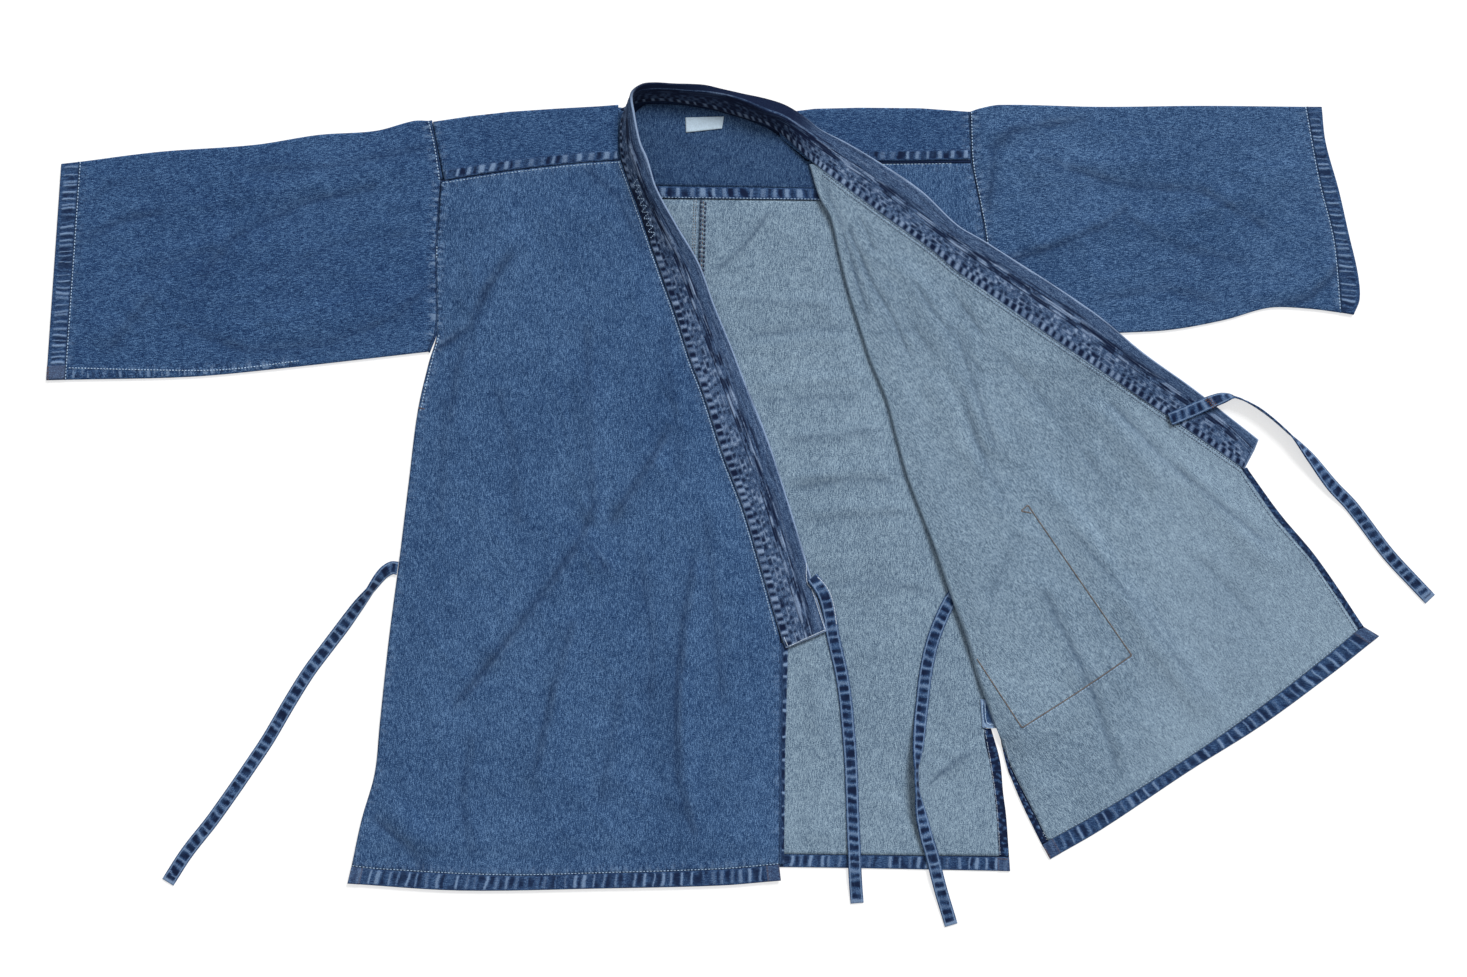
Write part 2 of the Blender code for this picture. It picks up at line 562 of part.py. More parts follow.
def make_lining():
    """Yoke lining with its felled lower edge, seen through the neck opening."""
    lining = stretched(LINING_NECK, LINING_HEM, [(445, 126), (446, 184)], [(962, 115), (965, 190.5)])
    flat_wall("yoke_lining", 30, 3, lining, lambda x, y: LAYER, OUTSIDE)
    strip = stretched(LINING_HEM, LINING_EDGE, [(446, 184), (446, 197)], [(965, 190.5), (970, 202.5)])
    count = round((LINING_HEM[-1][0] - LINING_HEM[0][0]) / FELL_RIB_PITCH)
    flat_wall("lining_hem", count * 2, 1, strip, lambda x, y: LAYER, HEM, FELL_THICK,
              ribs(count, FELL_RIB))


def make_right_front():
    """Right front, its turned hem, its turned front edge and the felled yoke seam above it."""
    hem_top = [(352, 866), (380, 869), (500, 875), (600, 873), (720, 869), (779, 864)]
    hem_edge = [(348, 883), (460, 890), (600, 888), (720, 885), (781, 880)]
    front = stretched(RIGHT_YOKE_SEAM, hem_top, [(442, 182)] + RIGHT_SIDE[1:-1] + [(352, 866)],
                      BAND_SEAM[:-1] + [(779, 864)])
    flat_wall("front_right", 15, 28, front, right_front_base, OUTSIDE)
    hem = stretched(hem_top, hem_edge, [(352, 866), (348, 883)], [(779, 864), (781, 880)])
    hem_count = round(430 / HEM_RIB_PITCH)
    flat_wall("hem_front_right", hem_count * 2, 1, hem, right_front_base, HEM, HEM_THICK,
              ribs(hem_count, RIB_HEIGHT))
    edge = stretched([(779.3, 650), (788, 650)], [(779.3, 864), (784, 864)],
                     [(779.3, 650), (779.3, 864)], [(788, 650), (785, 760), (784, 864)])
    flat_wall("edge_front_right", 1, 24, edge, lambda x, y: LAYER + HEM_LIFT * smooth(805, 845, y),
              HEM, FELL_THICK, lambda u, v: FELL_RIB * (round(v * 24) % 2))


def make_hem_back():
    top = [(352, 865), (679, 854), (999, 857), (1009, 857)]
    edge = [(349, 880), (460, 882), (600, 876), (720, 868), (785, 867), (1010, 871)]
    hem = stretched(top, edge, [(352, 865), (349, 880)], [(1009, 857), (1010, 871)])
    count = round(660 / HEM_RIB_PITCH)
    flat_wall("hem_back", count * 2, 1, hem, lambda x, y: 0.0, HEM, HEM_THICK,
              ribs(count, RIB_HEIGHT))


def make_left_front():
    """Left front: under part, rounded fold and the turned-back part, in one wall."""
    under, bend, over = 4, 4, 13
    columns = under + bend + over
    rows = len(LEFT_FRONT_SECTIONS) - 1

    def frame(index):
        section = LEFT_FRONT_SECTIONS[index]
        fold, edge = section["fold"], section["edge"]
        if edge[1] < FRONT_EDGE_INNER[0][1]:
            edge = (edge[0], below_band(edge[0]) + BAND_CLEARANCE)
        else:
            edge = (across(FRONT_EDGE_INNER, edge[1]) - SEAM_GAP, edge[1])
        side = section["side"] or fold
        radius = fold_radius(fold[1]) if index <= SLIT_TOP_SECTION else 0.0
        return side, (fold[0] + radius, fold[1]), edge, radius

    def turned_place(index, share):
        """Place on the turned-back part's section, which bows towards the hem."""
        _, centre, edge, _ = frame(index)
        bow = LEFT_FRONT_SECTIONS[index].get("bulge", 0.0) * 4.0 * share * (1.0 - share)
        return tuple(c + (e - c) * share + way * bow for c, e, way in zip(centre, edge, BULGE_WAY))

    def face(inward):
        def point(u, v):
            index, step = round(v * rows), round(u * columns)
            side, centre, edge, radius = frame(index)
            has_fold = index <= SLIT_TOP_SECTION
            side = (side[0] - SEAM_GAP, side[1])
            base = under_front_base(*centre)
            if step <= under:
                share = step / under
                x = side[0] + (centre[0] - side[0]) * share
                y = side[1] + (centre[1] - side[1]) * share
                return at(x, y, under_front_base(x, y) + inward)
            if step <= under + bend and has_fold:
                angle = math.pi * (step - under) / bend
                reach = (radius - inward) * math.sin(angle)
                height = base + radius - (radius - inward) * math.cos(angle)
                return at(centre[0] - reach, centre[1], height)
            share = (step - under - bend) / over
            share = max(share, 0.0) * (1.0 - SEAM_GAP / math.dist(centre, edge))
            x, y = turned_place(index, share)
            run = share * math.dist(centre, edge)
            puff = 0.0
            if has_fold:
                top_of_fold = base + 2.0 * radius - CLOTH
                puff = max(top_of_fold - turned_front_base(*centre), 0.0) * math.exp(-(run / 40.0) ** 2)
            return at(x, y, turned_front_base(x, y) + puff + CLOTH - inward)
        return point

    def keep(u, v):
        return v * rows < SLIT_TOP_SECTION or u * columns > under + bend

    wall("front_left", columns, rows, face(0.0), face(CLOTH), INSIDE, keep)
    hem_top = [tuple(c + way * 2.0 * SEAM_GAP for c, way in zip(turned_place(rows, i / 12), BULGE_WAY))
               for i in range(13)]
    hem_top = [(1042, 845)] + hem_top + [(1364, 627)]
    hem_edge = [(1050, 859), (1102, 829), (1189, 772), (1262, 725), (1334, 672), (1379, 636)]
    hem = stretched(hem_top, hem_edge, [hem_top[0], hem_edge[0]], [hem_top[-1], hem_edge[-1]])
    count = round(395 / HEM_RIB_PITCH)
    flat_wall("hem_front_left", count * 2, 1, hem, turned_front_base, HEM, HEM_THICK,
              ribs(count, RIB_HEIGHT))
    edge = stretched([FRONT_EDGE_INNER[0], FRONT_EDGE_OUTER[0]],
                     [FRONT_EDGE_INNER[-1], FRONT_EDGE_OUTER[-1]],
                     FRONT_EDGE_INNER, FRONT_EDGE_OUTER)
    flat_wall("edge_front_left", 1, 12, edge, turned_front_base, HEM)
    slit = stretched([FRONT_SLIT_OUTER[0], FRONT_SLIT_INNER[0]],
                     [FRONT_SLIT_OUTER[-1], FRONT_SLIT_INNER[-1]],
                     FRONT_SLIT_OUTER, FRONT_SLIT_INNER)
    flat_wall("slit_edge_front", 1, 10, slit, turned_front_base, HEM)
    pocket = stretched(POCKET_TOP, POCKET_BOTTOM, POCKET_LEFT, POCKET_RIGHT)
    flat_wall("pocket", 6, 8, pocket, lambda x, y: pile(x, y) + POCKET_REST, OUTSIDE)


def make_sleeve(name, edges, folds, thick, cloth, under_count, over_count, rows, colour, rib=0.0):
    """A flattened tube: the lower layer on the board, the upper one over it, open at both ends."""
    place = stretched(edges["cuff"], edges["armhole"], edges["top"], edges["bottom"], False)
    length = math.dist(edges["top"][0], edges["top"][-1])
    near = 3.0 / math.dist(edges["cuff"][0], edges["cuff"][-1])
    end_gap = SEAM_GAP / 2.0 / length
    stops = [(0.0, "edge")]
    stops += [(near + (1 - 2 * near) * i / (under_count - 1), "under") for i in range(under_count)]
    stops += [(1.0, "edge")]
    stops += [(1 - near - (1 - 2 * near) * i / (over_count - 1), "over") for i in range(over_count)]
    stops += [(0.0, "edge")]

    def face(inward):
        def point(u, v):
            index = round(u * (len(stops) - 1))
            share, layer = stops[index]
            edge_inset = near * 0.5 * inward / cloth
            x, y = place(edge_inset + (1 - 2 * edge_inset) * share, end_gap + (1 - 2 * end_gap) * v)
            if layer == "edge":
                return at(x, y, thick / 2.0)
            if layer == "under":
                return at(x, y, inward)
            shape = smooth(0.0, 0.16, min(share, 1.0 - share))
            rise = crease(x, y, folds) * shape * clear_of_band(x, y, 34.0) if folds else 0.0
            pucker = rib * (index % 2) if inward == 0.0 else 0.0
            return at(x, y, thick - inward + rise + pucker)
        return point
    wall(name, len(stops) - 1, rows, face(0.0), face(cloth), colour, tube=True)


def make_sleeves():
    cuff_ribs = round(217 / CUFF_RIB_PITCH)
    for side, sleeve, cuff, folds in (("right", RIGHT_SLEEVE, RIGHT_CUFF, RIGHT_SLEEVE_FOLDS),
                                      ("left", LEFT_SLEEVE, LEFT_CUFF, LEFT_SLEEVE_FOLDS)):
        make_sleeve("sleeve_" + side, sleeve, folds, SLEEVE_THICK, CLOTH, 5, 14, 14, OUTSIDE)
        make_sleeve("cuff_" + side, cuff, None, CUFF_THICK, CUFF_CLOTH, 5, cuff_ribs * 2, 1, HEM,
                    RIB_HEIGHT)


def band_base(x, y):
    """What the neckband lies on, by the stretch of its path."""
    if x < 800.0 and y > 130.0:
        return LAYER + YOKE_LIFT * yoke_step(y)
    return pile(x, y)


def make_neckband():
    """One folded strip: stitched rows from the seam to the ridge, and a plain outer third."""
    stitched = BAND_ROWS * 2
    columns = stitched + BAND_PLAIN_COLUMNS
    last = len(BAND_SECTIONS) - 1

    def middle(step, index):
        index = min(max(index, 0), last)
        section = BAND_SECTIONS[index]
        seam, ridge, free = section["seam"], section["ridge"], section["free"]
        tilt = section["lift"][0] / math.hypot(section["lift"][0], math.dist(seam, ridge))
        shift = tilt * BAND_THICK * 0.6 / math.dist(seam, ridge)
        seam = tuple(a + (b - a) * shift for a, b in zip(seam, ridge))
        seam_height = band_base(*seam) + tilt * SEAM_GAP
        seam_height = section.get("base", seam_height)
        ridge_height = seam_height + section["lift"][0]
        free_height = seam_height + section["lift"][1]
        if section["lift"][0] <= 2:
            ridge_height = band_base(*ridge) + section["lift"][0]
            free_height = band_base(*free) + section["lift"][1]
        if step <= stitched:
            share = step / stitched
            start, end = (*seam, seam_height), (*ridge, ridge_height)
        else:
            share = (step - stitched) / BAND_PLAIN_COLUMNS
            start, end = (*ridge, ridge_height), (*free, free_height)
        x, y, z = (a + (b - a) * share for a, b in zip(start, end))
        return at(x, y, z + BAND_THICK / 2.0)

    def face(side):
        def point(u, v):
            step, index = round(u * columns), round(v * last)
            here = middle(step, index)
            wide = middle(min(step + 1, columns), index) - middle(max(step - 1, 0), index)
            run = middle(step, index + 1) - middle(step, index - 1)
            normal = wide.cross(run).normalized()
            row = BAND_ROW_HEIGHT * (step % 2) if step < stitched else 0.0
            shown = 1.0 if (index < 16) == (side > 0) else 0.0
            return here + normal * side * (BAND_THICK / 2.0 + row * shown)
        return point
    wall("neckband", columns, last, face(-1.0), face(1.0), BAND)


def make_tie(name, sections):
    """A flat sewn strip that may turn on its edge."""
    last = len(sections) - 1
    steps = last * 2

    def middle(share):
        place = min(max(share, 0.0), 1.0) * last
        index = min(int(place), last - 1)
        part = place - index
        a, b = sections[index], sections[index + 1]
        values = {key: a[key] + (b[key] - a[key]) * part for key in ("x", "y", "z", "roll")}
        return at(values["x"], values["y"], values["z"]), math.radians(values["roll"])

    def face(side):
        def point(u, v):
            here, roll = middle(v)
            ahead, _ = middle(v + 0.5 / steps)
            behind, _ = middle(v - 0.5 / steps)
            run = ahead - behind
            run.z = 0.0
            run.normalize()
            flat = Vector((run.y, -run.x, 0.0))
            wide = flat * math.cos(roll) + Vector((0, 0, 1)) * math.sin(roll)
            normal = wide.cross(run)
            return here + wide * (u - 0.5) * TIE_WIDTH + normal * side * TIE_THICK / 2.0
        return point
    wall(name, 1, steps, face(-1.0), face(1.0), HEM)


def make_small_pieces():
    """Label at the neck, patch at the top of the slit and the slit's back edge."""
    a, b, c, d = LABEL_CORNERS
    label = stretched([a, b], [d, c], [a, d], [b, c])
    flat_wall("neck_label", 2, 1, label, lambda x, y: 2.0 * LAYER, LABEL, LABEL_THICK)
    a, b, c, d = PATCH_CORNERS
    patch = stretched([a, b], [d, c], [a, d], [b, c])
    flat_wall("slit_patch", 1, 1, patch, lambda x, y: LAYER, HEM, LABEL_THICK)
    slit = stretched([BACK_SLIT_INNER[0], BACK_SLIT_OUTER[0]],
                     [BACK_SLIT_INNER[-1], BACK_SLIT_OUTER[-1]],
                     BACK_SLIT_INNER, BACK_SLIT_OUTER)
    flat_wall("slit_edge_back", 1, 10, slit, lambda x, y: 0.0, HEM)


def main():
    for old in list(bpy.data.objects):
        bpy.data.objects.remove(old)
    bpy.context.scene.collection.children.link(COLLECTION)
    make_back()
    make_yoke()
    make_lining()
    make_right_front()
    make_hem_back()
    make_left_front()
    make_sleeves()
    make_neckband()
    make_tie("tie_outer_right", TIE_OUTER_RIGHT)
    make_tie("tie_band_right", TIE_BAND_RIGHT)
    make_tie("tie_inner_left", TIE_INNER_LEFT)
    make_tie("tie_band_left", TIE_BAND_LEFT)
    make_small_pieces()


main()
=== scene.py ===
# %% [markdown]
# # A washed denim kendo jacket, laid flat
#
# The jacket lies on its back on a pale floor, and its left front is turned back so that the
# pale inside shows. The CAD solids give the space that each panel fills. This script dresses
# every one of them with a fine cloth wall: the same cut, the same heights, and the creases,
# puckers and worn ribs that denim gets in the wash.

import bisect
import math
from collections import namedtuple

import bmesh
import bpy
from mathutils import Matrix, Vector, noise
from mathutils.bvhtree import BVHTree


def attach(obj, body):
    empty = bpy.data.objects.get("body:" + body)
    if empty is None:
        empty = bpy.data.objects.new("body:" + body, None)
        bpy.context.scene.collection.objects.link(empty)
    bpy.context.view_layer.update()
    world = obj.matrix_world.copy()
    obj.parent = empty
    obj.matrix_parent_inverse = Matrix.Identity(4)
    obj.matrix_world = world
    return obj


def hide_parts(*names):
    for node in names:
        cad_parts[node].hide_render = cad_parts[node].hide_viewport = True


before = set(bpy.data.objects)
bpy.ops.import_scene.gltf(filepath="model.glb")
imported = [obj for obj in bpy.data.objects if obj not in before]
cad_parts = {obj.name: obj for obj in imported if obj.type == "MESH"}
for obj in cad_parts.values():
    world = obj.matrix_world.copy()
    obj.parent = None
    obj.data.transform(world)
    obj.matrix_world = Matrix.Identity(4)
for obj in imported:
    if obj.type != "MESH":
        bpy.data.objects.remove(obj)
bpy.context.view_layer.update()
print("nodes to dress:", len(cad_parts))

# %% [markdown]
# ## The laying-out board
#
# A cutter works on a board, so flat places here are millimetres on a board, x to the right
# and y down. One function turns a place and a height into a point of the frame. Smooth
# lines through a few places stand for the edges that the cutter would chalk.

# %% Board, lines and soft steps
MM = 0.001
TINY = 1e-9
BOARD_CENTRE = (740.914, 506.338)


def at(x, y, z):
    """A place on the board and a height, in millimetres, as a point in metres."""
    return Vector(((x - BOARD_CENTRE[0]) * MM, (BOARD_CENTRE[1] - y) * MM, z * MM))


def places(text):
    """Places on the board from a text: the numbers of a place are parted by spaces, places by commas."""
    return [tuple(float(word) for word in place.split()) for place in text.split(",")]


def table(text):
    """A text table as a list of rows. Its first line names the columns and how many numbers they hold."""
    head, *lines = text.strip().splitlines()
    rows = []
    for line in lines:
        numbers, row = [float(word) for word in line.split()], {}
        for column in head.split():
            name, _, size = column.partition(":")
            count = len(numbers) if size == "*" else int(size or 1)
            taken, numbers = numbers[:count], numbers[count:]
            if size == "*":
                row[name] = list(zip(taken[::2], taken[1::2]))
            elif taken:
                row[name] = tuple(taken) if size else taken[0]
        rows.append(row)
    return rows


def clamp(value):
    """A value kept between 0 and 1."""
    return min(max(value, 0.0), 1.0)


def smooth(low, high, value):
    """Rise softly from 0 at low to 1 at high."""
    share = clamp((value - low) / (high - low))
    return share * share * (3.0 - 2.0 * share)


def blend(a, b, share):
    return a + (b - a) * share


def flowing(rows, steps):
    """Rows of numbers, with smooth ones put between them."""
    rows = [Vector(row) for row in rows]
    slopes = []
    for index in range(len(rows)):
        before, after = rows[max(index - 1, 0)], rows[min(index + 1, len(rows) - 1)]
        gap = (rows[index] - before).length + (after - rows[index]).length
        slopes.append((after - before) / max(gap, 1e-6))
    made = []
    for index in range(len(rows) - 1):
        start, end = rows[index], rows[index + 1]
        gap = (end - start).length
        for step in range(steps):
            t = step / steps
            bend_in = t * (1.0 - t) ** 2 * gap
            bend_out = t * t * (t - 1.0) * gap
            made.append(start.lerp(end, t * t * (3.0 - 2.0 * t))
                        + slopes[index] * bend_in + slopes[index + 1] * bend_out)
    return made + [rows[-1]]


def reaches(points):
    """How far along a line each of its points lies."""
    reach = [0.0]
    for a, b in zip(points, points[1:]):
        reach.append(reach[-1] + (b - a).length)
    return reach


def found(reach, run):
    """The stretch of a line that a run along it falls in, and the share of that stretch."""
    low = min(max(bisect.bisect_right(reach, run) - 1, 0), len(reach) - 2)
    return low, (run - reach[low]) / max(reach[low + 1] - reach[low], TINY)


class Line:
    """A smooth line through places on the board, read by its share of the length."""

    def __init__(self, points, steps=6):
        self.points = flowing(points, steps)
        self.reach = reaches(self.points)
        self.length = self.reach[-1]

    def place(self, share):
        low, part = found(self.reach, clamp(share) * self.length)
        return self.points[low].lerp(self.points[low + 1], part)


def across(points, y):
    """The x of a line that runs down the board, at a given y."""
    for a, b in zip(points, points[1:]):
        if y <= b[1] or b is points[-1]:
            part = clamp((y - a[1]) / (b[1] - a[1]))
            return a[0] + (b[0] - a[0]) * part
    return points[-1][0]


def distance(x, y, start, end):
    """Distance from a place to a straight stretch."""
    run = (end[0] - start[0], end[1] - start[1])
    share = clamp(((x - start[0]) * run[0] + (y - start[1]) * run[1]) / (run[0] ** 2 + run[1] ** 2))
    return math.hypot(x - start[0] - run[0] * share, y - start[1] - run[1] * share)


def distance_above(start, end, x, y):
    """Signed distance of a place above a straight line on the board."""
    run = (end[0] - start[0], end[1] - start[1])
    return (run[1] * (x - start[0]) - run[0] * (y - start[1])) / math.hypot(*run)


print("board centre:", BOARD_CENTRE, "mm")

# %% [markdown]
# ## The cut
#
# These are the edges of the pieces, read from the jacket as it lies. Each edge is a
# list of the places where it changes direction, and each table has a row for each section
# of a piece. The panels share their edges, so that every seam closes.

# %% Edges of the body
CLOTH = 1.2
LAYER = 1.5
WALL = 0.95
RIGHT_SIDE = places("""
    441 197, 440 215, 437 251, 437 334, 429 363, 418 411, 409 482, 400 556, 389 640, 380 724, 375 773, 362 819,
    352 864""")
LEFT_SIDE = places("""
    978 203, 985 240, 988 330, 989 440, 990 560, 993 640, 992 700, 984 731, 990 765, 993 785, 996 810, 999 856""")
CENTRE_BACK = [(700, 198.6), (679, 853)]
BAND_SEAM = places("""
    621 161, 633 193, 648 236, 663 279, 676 315, 691 361, 704 395, 723 454, 744 510, 764 578, 779 634,
    779.6 660, 779.4 760, 779 864""")
RIGHT_YOKE_SEAM = places("442 182, 508 172, 579 164, 621 161")
BACK_SLIT_OUTER = places("991 731, 1000 761, 1003 792, 1006 815, 1009 856")
BACK_SLIT_INNER = places("984 731, 990 765, 993 785, 996 810, 999 856")
FRONT_SLIT_OUTER = places("1000 738, 1006 764, 1013 783, 1022 804, 1032 825, 1041 843")
FRONT_SLIT_INNER = places("1003 739, 1011 770, 1029 806, 1047 842")
RIGHT_HEM_TOP = places("352 866, 380 869, 500 875, 600 873, 720 869, 779 864")
RIGHT_HEM_EDGE = places("348 883, 460 890, 600 888, 720 885, 781 880")
BACK_HEM_TOP = places("352 865, 500 861, 679 854, 850 855, 1009 857")
BACK_HEM_EDGE = places("349 880, 460 882, 600 876, 720 868, 785 867, 1010 871")
LEFT_HEM_EDGE = places("1050 859, 1102 829, 1189 771, 1262 725, 1334 672, 1379 636")

# %% Sections of the left front: side seam, fold line and front edge
LEFT_FRONT_SECTIONS = table("""
    side:2 fold:2 edge:2 bulge
    970 164  809 165  815 162
    977 196  819 198  839 183
    981 218  830 218  858 197
    985 250  838 252  884 216
    987 290  848 292  917 240
    988 328  860 330  944 262
    988 361  870 361  974 283
    988 400  886 400  1010 307
    989 440  896 438  1040 330
    989 475  906 474  1068 350
    990 515  921 514  1105 374
    990 555  935 550  1142 399
    992 600  951 598  1181 427
    993 640  965 636  1214 450
    994 680  977 677  1237 468
    996 702  985 699  1257 497
    1004 733  997 731  1279 523
    1012 769  1012 769  1308 556  3
    1030 805  1030 805  1332 590  6
    1048 841  1048 841  1358 630  10""")
SLIT_TOP_SECTION = 16
BULGE_WAY = Vector((0.56, 0.83))
FRONT_EDGE_OUTER = places("1249 471, 1280 514, 1316 557, 1363 626")
FRONT_EDGE_INNER = places("1243 472, 1275 518, 1311 560, 1358 629")
FOLD_LINE = [s["fold"] for s in LEFT_FRONT_SECTIONS[:SLIT_TOP_SECTION + 1]]

# %% Sleeves and cuffs
RIGHT_SLEEVE = dict(
    top=places("80 162, 159 152, 255 145, 319 135, 376 131, 414 121, 430 121"),
    bottom=places("65 380, 191 377, 287 368, 376 358, 428 352"),
    cuff=places("80 162, 65 380"),
    armhole=places("430 121, 436 146, 441 180, 439 203, 436 251, 436 328, 428 352"))
RIGHT_CUFF = dict(
    top=places("62 164, 80 162"),
    bottom=places("47 380.5, 65 380"),
    cuff=places("62 164, 47 380.5"),
    armhole=places("80 162, 65 380"))
LEFT_SLEEVE = dict(
    top=places("1306 107, 1200 106, 1100 107, 1000 105, 978 109, 970 112"),
    bottom=places("1341 313, 1309 309, 1269 308, 1225 320, 1171 330, 1121 333, 1060 335, 991 332"),
    cuff=places("1306 107, 1319 179, 1334 241, 1341 313"),
    armhole=places("970 112, 972 163, 979 200, 986 240, 991 332"))
LEFT_CUFF = dict(
    top=places("1321 107, 1306 107"),
    bottom=places("1353 315, 1341 313"),
    cuff=places("1321 107, 1325 143, 1338 190, 1348 234, 1357 273, 1359 299, 1353 315"),
    armhole=places("1306 107, 1319 179, 1334 241, 1341 313"))

# %% Yoke and lining
YOKE_SECTIONS = table("""
    back:2 top:2 front:2
    444 196  433.5 122  445 181
    485 196.4  470 116.5  482 174.5
    530 196.8  510 112  525 169
    575 197.2  555 109  570 164.5
    610 197.5  600 106.5  600 161.8
    634 197.7  619 105  618.5 159.5
    650 198  645 108.5
    678 198.3  680 108.5
    712 198.8  714 113.5
    745 199.2  745 123
    763 199.6  762 127.5
    780 199.8  775 119  780 138
    805 200  795 111.5  807 160
    830 200.4  815 109  832 161.8
    870 200.9  860 108  870 161.8
    925 201.6  920 108.5  925 161.2
    976 202.2  968 112  970 160.3""")
NECK_SECTIONS = (5, 11)
LINING_NECK = places("""
    445 126, 520 114, 610 108, 634 114, 645 104.5, 680 105, 714 110.5, 745 119.5, 766 127.5, 782 138, 795 151,
    808 163, 830 125, 900 112, 962 115""")
LINING_HEM = places("446 184, 650 186, 965 190.5")
LINING_EDGE = places("446 197, 650 198.3, 970 202.5")

# %% Neckband sections, from its end on the right front round the neck to its other end
BAND_SECTIONS = table("""
    seam:2 ridge:2 free:2 lift:2 base
    786 648  813 637  826 631  0 0
    780 632  809 621  822 617  0 0
    764 578  793 569  807 565  0 0
    744 510  772 500  786 496  0 0
    723 454  751 440  765 433  0 0
    704 395  731 386  744 381  0 0
    691 361  718 351  731 347  1 1
    676 315  701 307  713 303  4 5
    663 279  687 269  699 265  8 10
    648 236  668 231  678 229  14 17
    633 193  648 192  657 191  17 21
    622 160  637 162  648 162  18 23
    620 145  632 147  641 146  18 24
    621 124  630 119  635 117  18 24
    627 110  631 103  633 98  19 25
    636 104  639 94  642 89  20 26  0
    650 102  653 92  656 87  21 26  0
    668 102  668 92  672 88  22 26  0
    690 105  690 94.5  690 88.5  23 26  0
    712 109  708 96  706 89.5  24 25  0
    732 114.5  726 99  722 93  24 24  0
    750 120  745 105  742 97.5  24 22  0
    768 126  765 114  765 102  19 16  3.4
    784 137  782 120  785 108  14 10  5.4
    797 149  798 129  804 119  9 6  5.4
    810 161  815 140  820 131  5 3  5.4
    824 172  838 155  846 144  2 1
    855 195  871 176  883 166  0 0
    893 223  910 206  921 192  0 0
    932 251  948 234  957 226  0 0
    957 272  973 250  984 242  0 0
    1063 346  1081 322  1090 311  0 0
    1117 382  1134 361  1143 354  0 0
    1164 414  1182 393  1190 387  0 0
    1205 442  1222 420  1230 418  0 0
    1244 469  1254 450  1258 440  0 0""")

BAND_SEAM_LEFT = [s["seam"] for s in BAND_SECTIONS[26:]]

# %% Ties: middle line, height and roll about the length in degrees
TIES = dict(
    tie_outer_right=table("""
    x y z roll
    398  568.2  3  0
    392  567.8  3.4  10
    383  574  4.7  36
    371  590  7  62
    360  604  5.5  38
    345  624  2.6  12
    329  645  0.8  0
    306  676  0.8  0
    263  747  0.8  0
    214  818  0.8  0
    186  854  0.8  0
    168  882  0.8  0"""),
    tie_band_right=table("""
    x y z roll
    812  577  6.4  24
    819  586  6.2  18
    824.5  596  5.4  12
    829.2  613  3.8  5
    834  640  2.4  0
    843  682  2.4  0
    849  739  2.4  0
    852  790  2.4  0
    853  830  2.9  0
    854  848  3.9  0
    855  874  3.9  0
    856  890  1.9  0
    857  903  0.9  0"""),
    tie_inner_left=table("""
    x y z roll
    982  562  2.4  0
    966  580  2.4  0
    949  602  2.4  0
    935  634  2.4  0
    926  670  2.4  0
    921  713  2.6  0
    918  745  5.4  30
    916  768  8.4  72
    917  792  8.4  72
    921  815  6  30
    927  840  4.4  6
    931  852  3.9  0
    937  876  3.9  0
    943  898  1.9  0
    951  925  0.9  0"""),
    tie_band_left=table("""
    x y z roll
    1169  419.5  5.4  0
    1190  411  5.4  0
    1208  403  5.6  6
    1222  398  6.8  40
    1233  397  7.2  82
    1258  409  7  87
    1288  434  7  84
    1308  456  5.6  44
    1332  486  2.6  12
    1352  507  0.9  0
    1388  554  0.8  0
    1430  599  0.8  0"""))

# %% Small pieces
POCKET_EDGES = dict(top=[(957, 556), (1027, 508)], bottom=[(1021, 724), (1128, 654)],
                    left=places("957 556, 996 655, 1021 724"), right=[(1027, 508), (1128, 654)])
LABEL_CORNERS = places("685.5 118, 724 117, 722 129, 686 133")
PATCH_CORNERS = places("980 699, 986 699, 997 728, 982 728")

# %% [markdown]
# ## Creases
#
# Cloth that was worn and then thrown flat keeps long soft ridges from its wearer's elbows,
# shoulders and knees. Each row here is one such ridge. Between them lies a
# field of smaller rumples from noise, which is cheap and never repeats.

# %% Tables of creases
RIGHT_FRONT_FOLDS = table("""
    start:2 end:2 height reach
    452 318  508 240  4  15
    656 466  624 504  3  13
    499 650  577 543  3.5  15
    577 543  604 566  2.5  12
    588 380  590 508  2.5  14
    571 627  558 700  3  14
    558 700  538 773  3  14
    694 579  677 678  3  14
    677 678  687 800  3.5  14
    384 800  430 848  2.5  12""")
RIGHT_SLEEVE_FOLDS = table("""
    start:2 end:2 height reach
    110 335  215 245  2.4  16
    190 295  250 240  1.8  13
    285 325  420 300  1.8  15
    250 190  400 165  1.5  18""")
LEFT_SLEEVE_FOLDS = table("""
    start:2 end:2 height reach
    1040 246  1117 219  2.6  13
    1000 132  1065 112  2  12
    1030 168  1140 160  2  13
    1155 232  1285 172  2.2  15
    1252 300  1306 291  2.6  8
    1306 291  1330 266  2.2  7""")
LEFT_FRONT_FOLDS = table("""
    start:2 end:2 height reach
    910 270  990 440  3  17
    940 385  992 500  2.5  14
    1100 410  1156 474  2.5  13
    1045 590  1078 670  2.5  13
    1124 597  1207 705  3.5  15
    1195 480  1265 560  2.5  14
    1060 500  1100 560  2  13""")
BACK_CREASES = table("""
    start:2 end:2 height reach
    766 213  743 249  0.9  5
    742 300  830 306  0.7  7
    752 345  850 338  0.8  6
    762 384  862 376  0.7  6
    790 437  880 431  0.8  7
    795 478  884 470  0.9  7
    812 512  900 506  0.7  6
    832 592  915 584  0.8  7
    743 249  722 266  0.8  4
    976 750  922 789  1.3  5
    800 700  840 760  0.8  9""")
